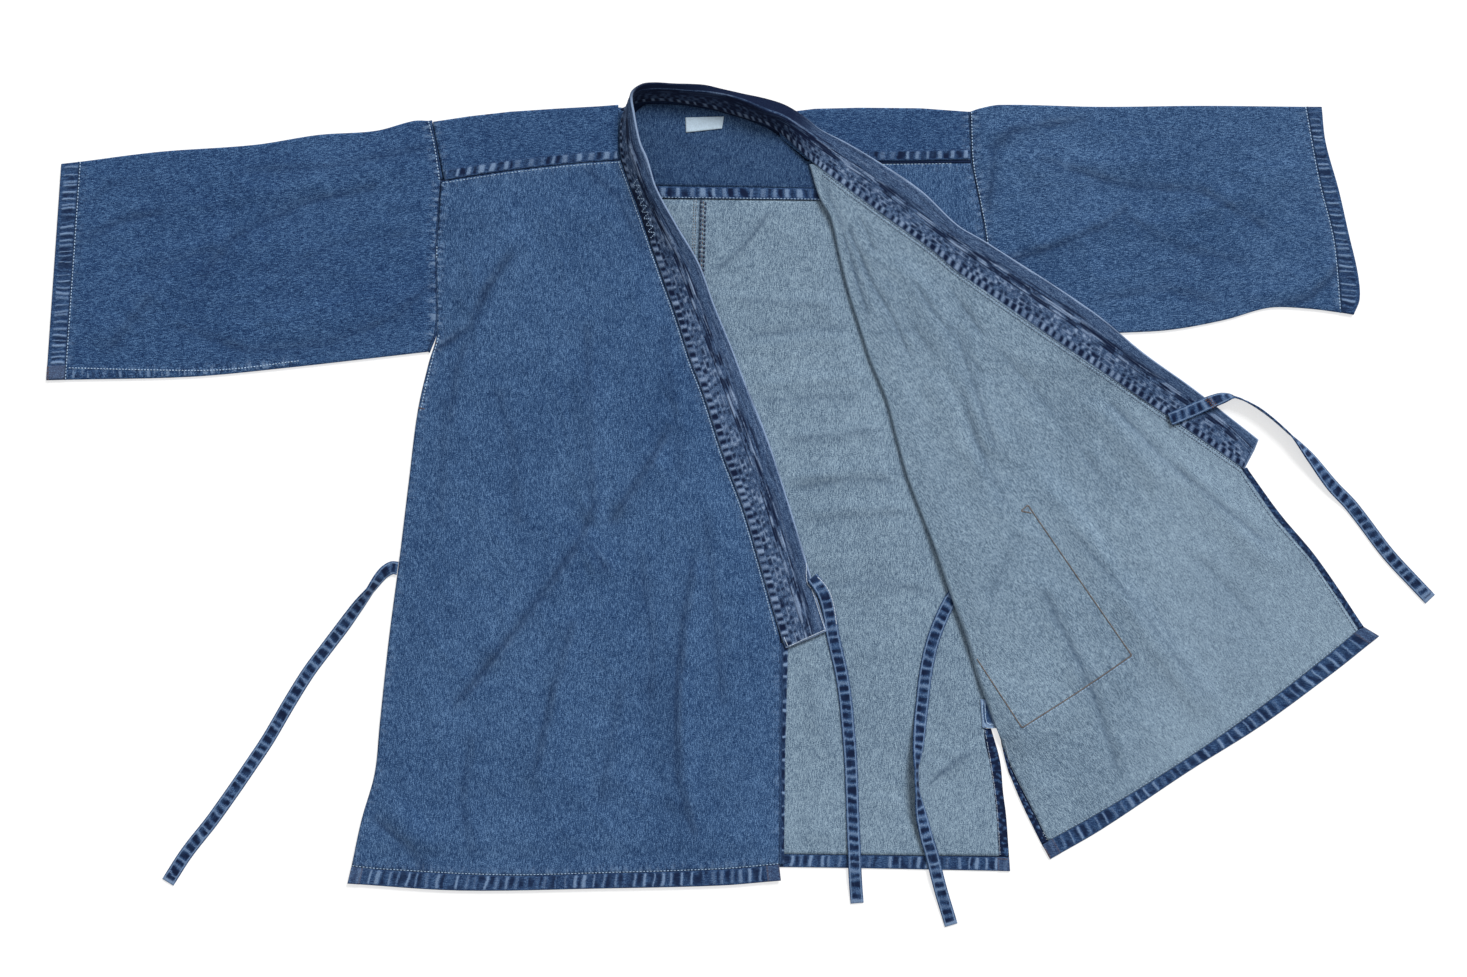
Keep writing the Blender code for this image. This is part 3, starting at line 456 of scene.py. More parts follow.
# Furrows are troughs in the cloth; the shader also paints shade along each one, with a thin painted highlight on one
# side.
FRONT_FURROWS = table("""
    depth reach line:*
    1  6  436 350  472 328  488 290  510 258
    0.45  7  586 330  589 400  592 505
    0.75  7  668 428  642 474  612 520
    0.8  7  594 505  580 540  545 590  500 650  455 705
    0.65  6  580 540  592 548  606 568
    0.65  6  573 622  552 690  535 772
    0.75  6  693 560  682 630  676 700  678 780  693 832
    0.7  6  376 818  402 842  424 866
    0.5  8  590 172  618 198  640 245
    0.4  7  640 200  658 262  690 350
    0.35  8  498 395  512 450  516 520
    0.3  9  445 400  440 520
    0.4  8  620 690  600 800
    0.5  6  470 330  455 372  450 420
    0.35  7  662 330  672 400  680 470
    0.4  7  705 520  715 610  722 700
    0.4  7  470 740  462 800  470 850
    0.35  8  640 560  652 640  648 720""")
RIGHT_SLEEVE_FURROWS = table("""
    depth reach line:*
    0.75  7  84 240  120 222  160 214
    0.75  8  115 345  135 318  150 300
    0.75  7  205 278  232 240  300 205  370 190
    0.75  7  180 328  250 352  330 345  395 318  428 290
    0.5  8  250 172  330 168  420 150
    0.5  7  150 270  215 250
    0.4  7  300 262  352 240  420 236
    0.35  6  95 200  110 185  150 180""")
LEFT_SLEEVE_FURROWS = table("""
    depth reach line:*
    1  6  1010 260  1062 245  1104 226  1122 212
    0.85  8  988 210  994 150  1012 132  1080 120
    0.7  8  1040 160  1120 186  1200 192  1262 226
    1.1  5  1272 308  1308 299  1326 284  1335 268
    0.5  8  1120 215  1180 250  1240 262
    0.55  8  1100 300  1160 290  1210 300""")
TURNED_FURROWS = table("""
    depth reach line:*
    1  4  817 178  836 215  849 256  866 312
    0.7  5  849 232  872 285  890 314  907 352
    0.6  4  861 221  872 248
    0.55  5  914 283  934 314  980 372
    0.55  5  951 290  981 334
    0.7  6  957 335  972 382  992 440
    0.6  6  962 395  975 440  1002 498
    0.7  6  1112 405  1160 455  1205 492  1262 540
    0.4  7  1000 352  1060 420  1110 490
    0.55  7  1075 535  1140 610  1178 660  1212 705
    0.85  7  1045 595  1068 640  1092 690  1120 775
    0.4  7  1018 540  990 590
    0.4  6  885 330  915 330  930 350
    0.45  7  1200 560  1262 625
    0.4  6  1150 600  1192 682
    0.35  9  870 420  905 500  935 560""")
BACK_FURROWS = table("""
    depth reach line:*
    1.1  4  768 213  746 246  722 266
    0.4  6  745 300  830 308
    0.6  7  755 336  810 328  862 330
    0.5  7  770 400  850 396
    0.45  6  790 440  880 430
    0.65  7  805 487  850 478  900 482
    0.35  6  812 520  905 512
    0.55  7  830 583  880 582  935 592
    1.1  4  976 750  950 766  922 789
    0.35  8  806 700  840 760
    0.35  7  925 640  950 700""")
FURROW_DEPTH = 2.3
CREASE_REACH = 7.0
CREASE_FAR = 30.0
NO_CREASE = (0.0, CREASE_FAR, 0.0)
OUTSIDE_SHADE = 0.55
INSIDE_SHADE = 0.42
SWELL_HEIGHT = 1.1
SWELL_LENGTH = 95.0


def flat_at(z):
    """A layer that is level everywhere."""
    return lambda x, y: z


def crease(x, y, folds):
    """Height of the highest crease at a place."""
    return max(f["height"] * math.exp(-(distance(x, y, f["start"], f["end"]) / f["reach"]) ** 2)
               for f in folds)


def furrow(x, y, rows):
    """Depth of the deepest furrow at a place, with the strength and signed distance of its crease."""
    deepest, crease_line = 0.0, NO_CREASE
    for row in rows:
        way = min(zip(row["line"], row["line"][1:]), key=lambda ends: distance(x, y, *ends))
        millimetres = distance(x, y, *way)
        away = millimetres / row["reach"]
        if away < 3.0:
            hollow = 0.62 * math.exp(-away ** 2) + 0.38 * math.exp(-(2.8 * away) ** 2)
            deepest = max(deepest, row["depth"] * hollow)
        strength = row["depth"] * math.exp(-(millimetres / CREASE_REACH) ** 2)
        if strength > max(crease_line[0], 0.01):
            side = distance_above(*way, x, y)
            crease_line = (strength, min(max(side, -CREASE_FAR), CREASE_FAR), 0.0)
    uneven = 0.85 + 0.5 * noise.noise((x / 26.0, y / 26.0, 3.3)) if deepest else 0.0
    return deepest * uneven, (crease_line[0] * uneven, crease_line[1], 0.0)


def shaded(share):
    """The value of the painted shade, in the dark channel of wear, at which the shader mixes in this share of its
    deep tone.
    """
    if share <= 0.004:
        return 0.0
    return 0.05 + 0.9 * (0.5 - math.sin(math.asin(1.0 - 2.0 * min(share, 1.0)) / 3.0))


def swell(x, y):
    """Air under cloth that was laid down and not pressed."""
    wave = math.sin(x / SWELL_LENGTH * math.pi + 0.7) * math.sin(y / SWELL_LENGTH * math.pi + 0.4)
    return SWELL_HEIGHT * 0.5 * (1.0 + wave)


def rumple(x, y, size, seed, turn=0.0, slim=0.5):
    """Uneven thin ridges from 0 to 1, longer along the direction turn than across it."""
    c, s = math.cos(turn), math.sin(turn)
    a = (x * c + y * s) / size
    b = (y * c - x * s) / (size * slim)
    ridge = 1.0 - 3.2 * abs(noise.noise((a, b, seed)))
    patch = 0.5 + 0.9 * noise.noise((a * 0.6, b * 0.4, seed + 31.0))
    return max(ridge, 0.0) ** 2 * clamp(patch)


def waves(x, y, size, seed):
    """A soft uneven surface between -1 and 1."""
    return noise.noise((x / size, y / size, seed))


print("creases placed by hand:", sum(len(f) for f in (
    RIGHT_FRONT_FOLDS, RIGHT_SLEEVE_FOLDS, LEFT_SLEEVE_FOLDS, LEFT_FRONT_FOLDS, BACK_CREASES, FRONT_FURROWS,
    RIGHT_SLEEVE_FURROWS, LEFT_SLEEVE_FURROWS, TURNED_FURROWS, BACK_FURROWS)))

# %% [markdown]
# ## Heights of the layers
#
# The jacket is a pile of cloth: back, lining, front, turned-back front, band and ties. Each
# function here gives the height at which a layer lies, so that nothing sinks into what is
# under it and nothing floats.

# %% Heights
YOKE_LIFT = 2.1
YOKE_LIFT_ENDS = (208.0, 245.0)
PILE_LIFT_ENDS = (236.0, 280.0)
HEM_LIFT = 1.3
SLEEVE_PILE = 4.9
TIE_HIDDEN = ((984, 560), (949, 602))
PATCH_MIDDLE = (989.0, 714.0)
POCKET_MIDDLE = (1033.0, 610.0)
POCKET_ALONG = (0.57, 0.82)
POCKET_HALF = (94.0, 70.0)
POCKET_ROOM = 2.4
BAND_PATH = ((835, 168), (1250, 457))


def side_fade(x, y):
    """The right front's creases fade out towards its side seam, neckband and hem."""
    left = smooth(2.0, 42.0, x - across(RIGHT_SIDE, y))
    right = smooth(2.0, 34.0, across(BAND_SEAM, y) - x)
    return left * right * smooth(185.0, 225.0, y) * (1.0 - smooth(835.0, 862.0, y))


def yoke_step(y, ends=YOKE_LIFT_ENDS):
    return 1.0 - smooth(*ends, y)


def right_front_base(x, y):
    folds = crease(x, y, RIGHT_FRONT_FOLDS) + swell(x, y)
    return LAYER + YOKE_LIFT * yoke_step(y) + HEM_LIFT * smooth(805.0, 845.0, y) + folds * side_fade(x, y)


def hidden_lift(x, y):
    """Room over the inner tie and the slit patch that the left front hides."""
    tie = 1.0 - smooth(42.0, 75.0, distance(x, y, *TIE_HIDDEN))
    patch = 1.0 - smooth(26.0, 50.0, math.dist((x, y), PATCH_MIDDLE))
    return max(1.95 * tie, 1.5 * patch)


def under_front_base(x, y):
    return LAYER + YOKE_LIFT * yoke_step(y) + hidden_lift(x, y)


def pocket_lift(x, y):
    dx, dy = x - POCKET_MIDDLE[0], y - POCKET_MIDDLE[1]
    long_way = abs(dx * POCKET_ALONG[0] + dy * POCKET_ALONG[1]) - POCKET_HALF[0]
    short_way = abs(dx * POCKET_ALONG[1] - dy * POCKET_ALONG[0]) - POCKET_HALF[1]
    return POCKET_ROOM * (1.0 - smooth(8.0, 34.0, max(long_way, short_way)))


def pile(x, y):
    """Top of what lies under the turned-back front: body, sleeve or the bare floor."""
    beyond_side = x - across(places("970 164, 988 330, 990 560, 996 702, 1000 733"), y)
    on_body = (1.0 - smooth(20.0, 75.0, beyond_side)) * (1.0 - smooth(722.0, 760.0, y))
    body = on_body * (2.0 * LAYER + YOKE_LIFT * yoke_step(y, PILE_LIFT_ENDS) + hidden_lift(x, y))
    sleeve = SLEEVE_PILE * (1.0 - smooth(18.0, 70.0, y - 333.0)) * smooth(940.0, 975.0, x)
    return max(body, sleeve)


def fold_radius(y):
    softness = smooth(165.0, 260.0, y) * (1.0 - smooth(560.0, 725.0, y))
    return 1.7 + 0.7 * softness


def clear_of_hem(x, y):
    return smooth(4.0, 40.0, distance_above((1046, 846), (1363, 627), x, y))


def clear_of_band(x, y, reach):
    return smooth(2.0, reach, abs(distance_above(*BAND_PATH, x, y)) - 24.0)


def turned_room(x, y):
    """Where the turned-back front is free to crease: away from its fold, hem and band."""
    to_fold = x - across(FOLD_LINE, y) if y < FOLD_LINE[-1][1] else 200.0
    return smooth(4.0, 45.0, to_fold) * clear_of_hem(x, y) * clear_of_band(x, y, 30.0)


def turned_front_base(x, y):
    """Underside of the turned-back front."""
    folds = (crease(x, y, LEFT_FRONT_FOLDS) + swell(x, y)) * turned_room(x, y)
    return pile(x, y) + pocket_lift(x, y) + folds


def band_base(x, y):
    """What the neckband lies on, by the stretch of its path."""
    if x < 800.0 and y > 130.0:
        return LAYER + YOKE_LIFT * yoke_step(y)
    return pile(x, y)


def below_band(x):
    """The y of the neckband's seam over the turned-back front, at a given x."""
    return across([(s["seam"][1], s["seam"][0]) for s in BAND_SECTIONS if s["seam"][0] > 800], x)


print("highest layer under the turned front:", round(pile(990, 250), 2), "mm")

# %% [markdown]
# ## Shader maths
#
# A node tree is long to write and hard to read. This small class wraps a socket, so that
# a sum or a product in Python adds the Math node it stands for.

# %% Sockets as values
class Value:
    """A socket of a material's node tree that can be used in sums."""

    def __init__(self, shader, socket):
        self.shader = shader
        self.socket = socket

    def maths(self, operation, first, second):
        node = self.shader.node("ShaderNodeMath", {"operation": operation}, {0: first, 1: second})
        return Value(self.shader, node.outputs[0])

    def __add__(self, other):
        return self.maths("ADD", self, other)

    def __sub__(self, other):
        return self.maths("SUBTRACT", self, other)

    def __mul__(self, other):
        return self.maths("MULTIPLY", self, other)

    __radd__ = __add__
    __rmul__ = __mul__


class Shader:
    """One material and the few kinds of node that the cloth needs."""

    def __init__(self, name):
        self.material = bpy.data.materials.new(name)
        self.material.use_nodes = True
        self.tree = self.material.node_tree
        self.surface = self.tree.nodes["Principled BSDF"]

    def node(self, kind, settings, inputs):
        """Any node: its type, its settings and the values or links of its sockets."""
        made = self.tree.nodes.new(kind)
        for key, value in settings.items():
            setattr(made, key, value)
        for key, value in inputs.items():
            self.feed(made.inputs[key], value)
        return made

    def feed(self, socket, value):
        if isinstance(value, Value):
            self.tree.links.new(value.socket, socket)
        else:
            socket.default_value = value

    def set(self, values):
        """Plain values of the surface itself."""
        for key, value in values.items():
            self.surface.inputs[key].default_value = value

    def attribute(self, name):
        """A vector that the mesh carries, and its three numbers."""
        made = self.node("ShaderNodeAttribute", {"attribute_name": name}, {})
        vector = Value(self, made.outputs["Vector"])
        parts = self.node("ShaderNodeSeparateXYZ", {}, {0: vector})
        return vector, [Value(self, parts.outputs[i]) for i in range(3)]

    def stretched(self, vector, size, seed):
        """Coordinates in which a feature of this size, in millimetres, is one unit."""
        scaled = self.node("ShaderNodeVectorMath", {"operation": "MULTIPLY_ADD"},
                           {0: vector, 1: [1.0 / size[0], 1.0 / size[1], 0.0], 2: [seed, seed * 0.7, seed]})
        return Value(self, scaled.outputs[0])

    def grain(self, vector, size, seed, detail=2.0, rough=0.6):
        """Noise around 0 with features of this size across and along the yarn."""
        made = self.node("ShaderNodeTexNoise", {},
                         {"Vector": self.stretched(vector, size, seed), "Scale": 1.0,
                          "Detail": detail, "Roughness": rough})
        return Value(self, made.outputs[0]) - 0.5

    def rise(self, value, low, high):
        """A soft step from 0 at low to 1 at high."""
        made = self.node("ShaderNodeMapRange", {"interpolation_type": "SMOOTHSTEP"},
                         {"Value": value, "From Min": low, "From Max": high})
        return Value(self, made.outputs[0])

    def positive(self, value):
        return value.maths("ABSOLUTE", value, 0.0)

    def mixed(self, share, first, second):
        made = self.node("ShaderNodeMix", {"data_type": "RGBA"}, {0: share, 6: first, 7: second})
        return Value(self, made.outputs[2])


print("shader maths ready")

# %% [markdown]
# ## Denim
#
# Denim is a twill: indigo warp over white weft. The outside shows mostly warp, streaked along
# the yarn where the dye is worn off, and the inside shows mostly weft with specks of indigo.
# Where the cloth is sewn, the thread shrinks and the cloth puckers. The crests of the puckers
# wash out pale and the hollows stay navy. Four vectors on each vertex carry what the shader
# needs: the place in the cut, the nearest seam, the wear with the painted shade, and the
# nearest crease, along which the shader paints a dark line of shade and a pale highlight.

# %% One recipe for all the denim
def colour(red, green, blue):
    """A screen colour, 0 to 255, as the light that the shader works in."""
    parts = [part / 255.0 for part in (red, green, blue)]
    return [p / 12.92 if p < 0.04045 else ((p + 0.055) / 1.055) ** 2.4 for p in parts] + [1.0]


DEEP = colour(20, 33, 62)
WORN = colour(128, 153, 184)
BROWN = colour(104, 86, 76)
STREAK_SIZE = (0.75, 4.0)
FLECK_SIZE = (0.9, 1.05)
MOTTLE_SIZE = (9.0, 13.0)
FADE_SIZE = (90.0, 140.0)
PUCKER_SIZE = (4.4, 13.0)


def denim(name, tones, streak=1.6, fleck=1.9, mottle=0.26, fade=0.2, worn=WORN, deep=DEEP, pucker=1.0, crease_shading=0.24):
    """Washed denim in a dark, a middle and a pale tone, with its yarn, its seams, its wear, and painted shade and
    highlight along its creases.
    """
    s = Shader(name)
    darkest, middle, palest = (colour(*tone) for tone in places(tones))
    cut, _ = s.attribute("cut")
    seam, (_, away, strength) = s.attribute("seam")
    _, (pale, dark, brown) = s.attribute("wear")
    _, (folded, side, _) = s.attribute("furrow")
    streaks = s.grain(cut, STREAK_SIZE, 1.3, 3.0, 0.65)
    flecks = s.grain(cut, FLECK_SIZE, 5.1, 3.0, 0.7)
    mottles = s.grain(cut, MOTTLE_SIZE, 9.7, 3.0, 0.6)
    fades = s.grain(cut, FADE_SIZE, 3.9, 2.0, 0.5)
    tone = streaks * streak + flecks * fleck + mottles * mottle + fades * fade
    base = s.mixed(s.rise(tone, 0.0, 0.34), middle, palest)
    base = s.mixed(s.rise(tone, 0.0, -0.34), base, darkest)
    ribs = s.grain(seam, PUCKER_SIZE, 2.2, 2.0, 0.5) + flecks * 0.35
    near = s.rise(away, 12.0, 1.0) * strength * pucker
    base = s.mixed(near * s.rise(ribs, 0.02, 0.13) * 0.6, base, worn)
    base = s.mixed(near * s.rise(ribs, 0.0, -0.11) * 0.65, base, deep)
    base = s.mixed(s.rise(away, 1.3, 0.3) * strength * 0.7, base, deep)
    base = s.mixed(brown * 0.85, base, BROWN)
    # Rubbed wear in the pale channel; in the dark channel, real navy plus the painted shade of furrows and of the
    # band behind the neck.
    base = s.mixed(s.rise(pale + pale * flecks * 1.8, 0.08, 0.85), base, worn)
    base = s.mixed(s.rise(dark + dark * flecks * 1.5, 0.05, 0.95), base, deep)
    # Painted shade: a dark line along each crease, and a painted highlight on one side of it, broken up by the
    # mottle.
    wander = side + mottles * 6.0 + flecks * 1.5
    broken = folded * (0.3 + s.rise(mottles, -0.1, 0.1) * 0.7)
    base = s.mixed(s.rise(s.positive(wander), 3.4, 0.2) * broken * crease_shading, base, deep)
    base = s.mixed(s.rise(wander, 1.8, 3.6) * s.rise(wander, 8.5, 4.5) * broken * crease_shading * 0.5, base, worn)
    s.feed(s.surface.inputs["Base Color"], base)
    s.feed(s.surface.inputs["Roughness"], 0.88 + mottles * 0.2)
    s.set({"Sheen Weight": 0.02, "Sheen Roughness": 0.6, "Specular IOR Level": 0.08})
    relief = streaks * 0.5 + flecks * 0.6 + ribs * near * 1.6
    bump = s.node("ShaderNodeBump", {}, {"Strength": 0.6, "Distance": 0.0005, "Height": relief})
    s.feed(s.surface.inputs["Normal"], Value(s, bump.outputs[0]))
    return s.material


OUTSIDE = denim("denim_outside", "19 43 79, 49 78 117, 98 130 168")
SLEEVE = denim("denim_sleeve", "15 37 74, 41 70 110, 88 121 160",
               crease_shading=0.1)
INSIDE = denim("denim_inside", "66 86 108, 112 134 154, 155 177 194",
               worn=colour(160, 182, 200), deep=colour(46, 66, 92), pucker=0.5, crease_shading=0.36)
LINING = denim("denim_lining", "16 36 70, 41 67 103, 80 108 142")
HEM = denim("denim_hem", "20 38 72, 42 68 106, 78 108 146",
            worn=colour(122, 147, 180), deep=colour(16, 28, 56))
BAND = denim("denim_band", "26 44 76, 57 79 112, 96 120 153",
             worn=colour(134, 154, 184), deep=colour(14, 25, 52))


# %% Thread, label and frayed ends
def plain_yarn(name, shade, spread):
    """A thread or a smooth woven ribbon, with a little unevenness."""
    s = Shader(name)
    place = Value(s, s.node("ShaderNodeTexCoord", {}, {}).outputs["Object"])
    scaled = s.node("ShaderNodeVectorMath", {"operation": "SCALE"}, {0: place, "Scale": 1.0 / MM})
    speck = s.grain(Value(s, scaled.outputs[0]), (1.4, 1.4), 4.4, 2.0, 0.6)
    darker = [part * (1.0 - spread) for part in shade[:3]] + [1.0]
    lighter = [min(part * (1.0 + spread), 1.0) for part in shade[:3]] + [1.0]
    s.feed(s.surface.inputs["Base Color"], s.mixed(s.rise(speck, -0.2, 0.2), darker, lighter))
    s.feed(s.surface.inputs["Roughness"], 0.75 + speck * 0.2)
    bump = s.node("ShaderNodeBump", {}, {"Strength": 0.4, "Distance": 0.0002, "Height": speck})
    s.feed(s.surface.inputs["Normal"], Value(s, bump.outputs[0]))
    return s.material


PALE_THREAD = plain_yarn("thread_pale", colour(158, 184, 212), 0.25)
NAVY_THREAD = plain_yarn("thread_navy", colour(44, 58, 86), 0.3)
BROWN_THREAD = plain_yarn("thread_brown", colour(112, 100, 92), 0.3)
RUST_THREAD = plain_yarn("thread_rust", colour(104, 74, 58), 0.3)
WHITE_THREAD = plain_yarn("thread_white", colour(186, 200, 216), 0.15)
LABEL = plain_yarn("label_cloth", colour(180, 200, 216), 0.08)
print("materials:", len(bpy.data.materials))

# %% [markdown]
# ## From a cut to a wall of cloth
#
# Every panel starts as a flat grid, whose points are then laid on the board at the height
# of their layer. Solidify as a bmesh operator gives it its thickness, downwards, so the
# outer face stays where the shape was worked out. A tube, such as a sleeve, is the same
# grid closed on itself with its doubled points merged.

# %% The panel maker
FAR = 999.0
NO_SEAM = (0.0, FAR, 0.0)
Spot = namedtuple("Spot", "point cut seam wear furrow",
                  defaults=((0, 0, 0), NO_SEAM, (0, 0, 0), NO_CREASE))
LAYERS = Spot._fields[1:]
MADE = {}


def piece_from(name, mesh, materials, node):
    """Put a finished bmesh in the scene as a piece that stands for a CAD node."""
    data = bpy.data.meshes.new(name)
    mesh.to_mesh(data)
    faces = sum(len(p.vertices) - 2 for p in data.polygons)
    mesh.free()
    for material in materials:
        data.materials.append(material)
    data.shade_smooth()
    piece = bpy.data.objects.new(name, data)
    bpy.context.scene.collection.objects.link(piece)
    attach(piece, "root")
    if node:
        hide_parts(node)
    MADE[name] = piece
    print(f"{name}: {faces} triangles")


def laid(columns, rows, face, keep=None):
    """A grid laid along face(u, v), which gives a Spot for each of its points."""
    mesh = bmesh.new()
    bmesh.ops.create_grid(mesh, x_segments=columns, y_segments=rows, size=0.5)
    layers = {key: mesh.verts.layers.float_vector.new(key) for key in LAYERS}
    if keep:
        spare = [f for f in mesh.faces
                 if not keep(f.calc_center_median().x + 0.5, f.calc_center_median().y + 0.5)]
        bmesh.ops.delete(mesh, geom=spare, context="FACES")
    for vert in mesh.verts:
        spot = face(vert.co.x + 0.5, vert.co.y + 0.5)
        vert.co = spot.point
        for key, layer in layers.items():
            vert[layer] = getattr(spot, key)
    return mesh


def cloth(name, columns, rows, face, material, node, thick=WALL, keep=None, tube=False, backing=None):
    """A fine cloth wall laid along face(u, v). Its backing is the material of its other side."""
    mesh = laid(columns, rows, face, keep)
    if tube:
        bmesh.ops.remove_doubles(mesh, verts=mesh.verts, dist=0.02 * MM)
    bmesh.ops.recalc_face_normals(mesh, faces=mesh.faces)
    highest = max(mesh.faces, key=lambda f: f.calc_center_median().z)
    if highest.normal.z < 0.0:
        bmesh.ops.reverse_faces(mesh, faces=mesh.faces)
    mesh.normal_update()
    first_side = set(mesh.faces)
    bmesh.ops.solidify(mesh, geom=mesh.faces[:], thickness=thick * MM)
    for side_face in mesh.faces:
        side_face.material_index = 0 if side_face in first_side or backing is None else 1
    piece_from(name, mesh, [material] + ([backing] if backing else []), node)


def stretched(top, bottom, left, right):
    """Flat places between four edges, each a Line."""
    corners = (top.place(0), top.place(1), bottom.place(0), bottom.place(1))

    def place(u, v):
        ruled = (1 - v) * top.place(u) + v * bottom.place(u) + (1 - u) * left.place(v) + u * right.place(v)
        shared = ((1 - u) * (1 - v) * corners[0] + u * (1 - v) * corners[1]
                  + (1 - u) * v * corners[2] + u * v * corners[3])
        return ruled - shared
    return place


def nearest_seam(x, y, seams):
    """Run along, distance from and strength of the nearest sewn edge."""
    best = NO_SEAM
    for seam in seams:
        for index, (a, b) in enumerate(zip(seam["line"].points, seam["line"].points[1:])):
            away = distance(x, y, a, b)
            if away < best[1]:
                part = clamp((Vector((x, y)) - a).dot(b - a) / max((b - a).length_squared, TINY))
                best = (seam["line"].reach[index] + part * (b - a).length, away, seam["strength"])
    return best


def sewn(points, strength):
    """A sewn edge that puckers the cloth beside it."""
    return dict(line=Line(points, 2), strength=strength)


print("panel maker ready")

# %% [markdown]
# ## Back
#
# The back is cut in two halves that meet at a seam down the middle. Only its inside shows,
# through the open front: pale, with thin creases across it where it was folded on a shelf.

# %% Back panels
BACK_SEAMS = [sewn(CENTRE_BACK, 0.9), sewn(BACK_SLIT_INNER, 0.8), sewn(BACK_HEM_TOP, 0.6)]
TIES_ON_BACK = [[(row["x"], row["y"]) for row in TIES[name]] for name in ("tie_band_right", "tie_inner_left")]


def back_spot(place):
    def face(u, v):
        x, y = place(u, v)
        shows = smooth(4.0, 30.0, x - across(BAND_SEAM, y) - 10.0) * smooth(203.0, 220.0, y)
        shows *= smooth(-6.0, -26.0, x - across(FOLD_LINE, y)) if y < 731.0 else smooth(984.0, 960.0, x)
        shows *= 1.0 - smooth(832.0, 850.0, y)
        if shows > 0.0 and y > 540.0:
            under_tie = min(distance(x, y, a, b) for line in TIES_ON_BACK for a, b in zip(line, line[1:]))
            shows *= 0.25 + 0.75 * smooth(8.0, 24.0, under_tie)
        lift = 1.4 * crease(x, y, BACK_CREASES) + 0.9 * rumple(x, y, 52.0, 2.0, 0.1, 0.35)
        lift += 0.4 + 0.5 * waves(x, y, 30.0, 4.0)
        near_middle = abs(x - across(CENTRE_BACK, y)) < 14.0
        seam = nearest_seam(x, y, BACK_SEAMS) if shows > 0.0 or y > 830.0 or near_middle else NO_SEAM
        dip, line = furrow(x, y, BACK_FURROWS) if shows > 0.0 else (0.0, NO_CREASE)
        lift = max(lift + 0.5 - 1.1 * dip * shows, 0.0) * shows
        # Painted shade along the furrows, and the crease line for the shader's painted line of shade and highlight.
        return Spot(at(x, y, CLOTH + lift), (x, y, 0.0), seam, (0, shaded(INSIDE_SHADE * dip * shows), 0),
                    (line[0] * shows, line[1], 0))
    return face


back_right = stretched(Line(places("441 196.5, 640 198, 700 198.6")), Line([(352, 865), (679, 854)]),
                       Line(RIGHT_SIDE), Line(CENTRE_BACK))
back_left = stretched(Line([(700, 198.6), (978, 202.5)]), Line([(679, 854), (999, 857)]),
                      Line(CENTRE_BACK), Line(LEFT_SIDE))
cloth("back_right_cloth", 40, 90, back_spot(back_right), INSIDE, "back_right", backing=OUTSIDE)
cloth("back_left_cloth", 84, 186, back_spot(back_left), INSIDE, "back_left", backing=OUTSIDE)

# %% [markdown]
# ## Ribs of a turned hem
#
# A hem is three layers of denim under one row of stitches. When it shrinks it ropes: slanting
# ribs stand up across it every 5 to 12 mm, and their crests wear pale. One function gives
# the ribs' height and wear at a place on any hem, so the relief and the colour agree.

# %% Ribbed strips
RIB_HEIGHT = 0.6
HEM_WALL = 1.8
RIB_ROW = 1.1
LEAST_ROWS = 5
STYLES = dict(zip(("hem", "felled", "cuff", "edge"), table("""
    pitch bar slant start end pale dark rim uneven
    9.8  1.5  1.6  0.06  0.96  0.62  0.7  0.22  0.8
    12.2  2.5  2.4  0.12  0.90  0.62  0.9  0.2  0.75
    5.9  1.0  0.8  0.04  0.84  0.72  0.62  0.25  1.0
    11.5  1.4  1.2  0.45  1.05  0.8  0.9  0.35  1.0""")))


def ladder(run, pitch, bar, seed, uneven=1.0):
    """How far a place is on a crosswise bar, and how far in the block beside it."""
    crest, gap = 0.0, 9.9
    index = round(run / pitch)
    for near in (index - 1, index, index + 1):
        shift = 0.42 * uneven * noise.noise((near * 1.73, seed, 0.5))
        wide = bar * (1.0 + 1.1 * uneven * noise.noise((near * 2.31, seed, 4.5)))
        away = abs(run - (near + shift) * pitch)
        strength = min(max(0.8 + 0.9 * uneven * noise.noise((near * 1.91, seed, 9.5)), 0.3), 1.0)
        crest = max(crest, strength * smooth(wide * 1.5, wide * 0.4, away))
        gap = min(gap, away / wide)
    return crest, smooth(0.9, 2.0, gap)


def roping(run, share, style, seed):
    """Height and wear of a strip's ribs at a run along it and a share across it."""
    kind = STYLES[style]
    bent = run + kind["slant"] * (share - 0.5) + 1.4 * noise.noise((run / 14.0, share * 1.6, seed + 7.0))
    crest, block = ladder(bent, kind["pitch"], kind["bar"], seed, kind["uneven"])
    body = smooth(kind["start"] - 0.08, kind["start"] + 0.07, share)
    body *= smooth(kind["end"] + 0.06, kind["end"] - 0.12, share)
    patch = smooth(-0.35, 0.35, noise.noise((run / 9.0, share * 1.3, seed + 15.0)))
    stitched, folded = smooth(0.12, 0.02, share), smooth(0.92, 1.0, share)
    height = RIB_HEIGHT * (crest - 0.3 * block) * body - 0.4 * stitched - 0.5 * folded
    pale = kind["pale"] * crest * body + kind["rim"] * folded
    dark = kind["dark"] * block * body * (0.35 + 0.65 * patch) + 0.3 * stitched
    return height, (min(pale, 1.0), min(dark, 1.0), 0.0)


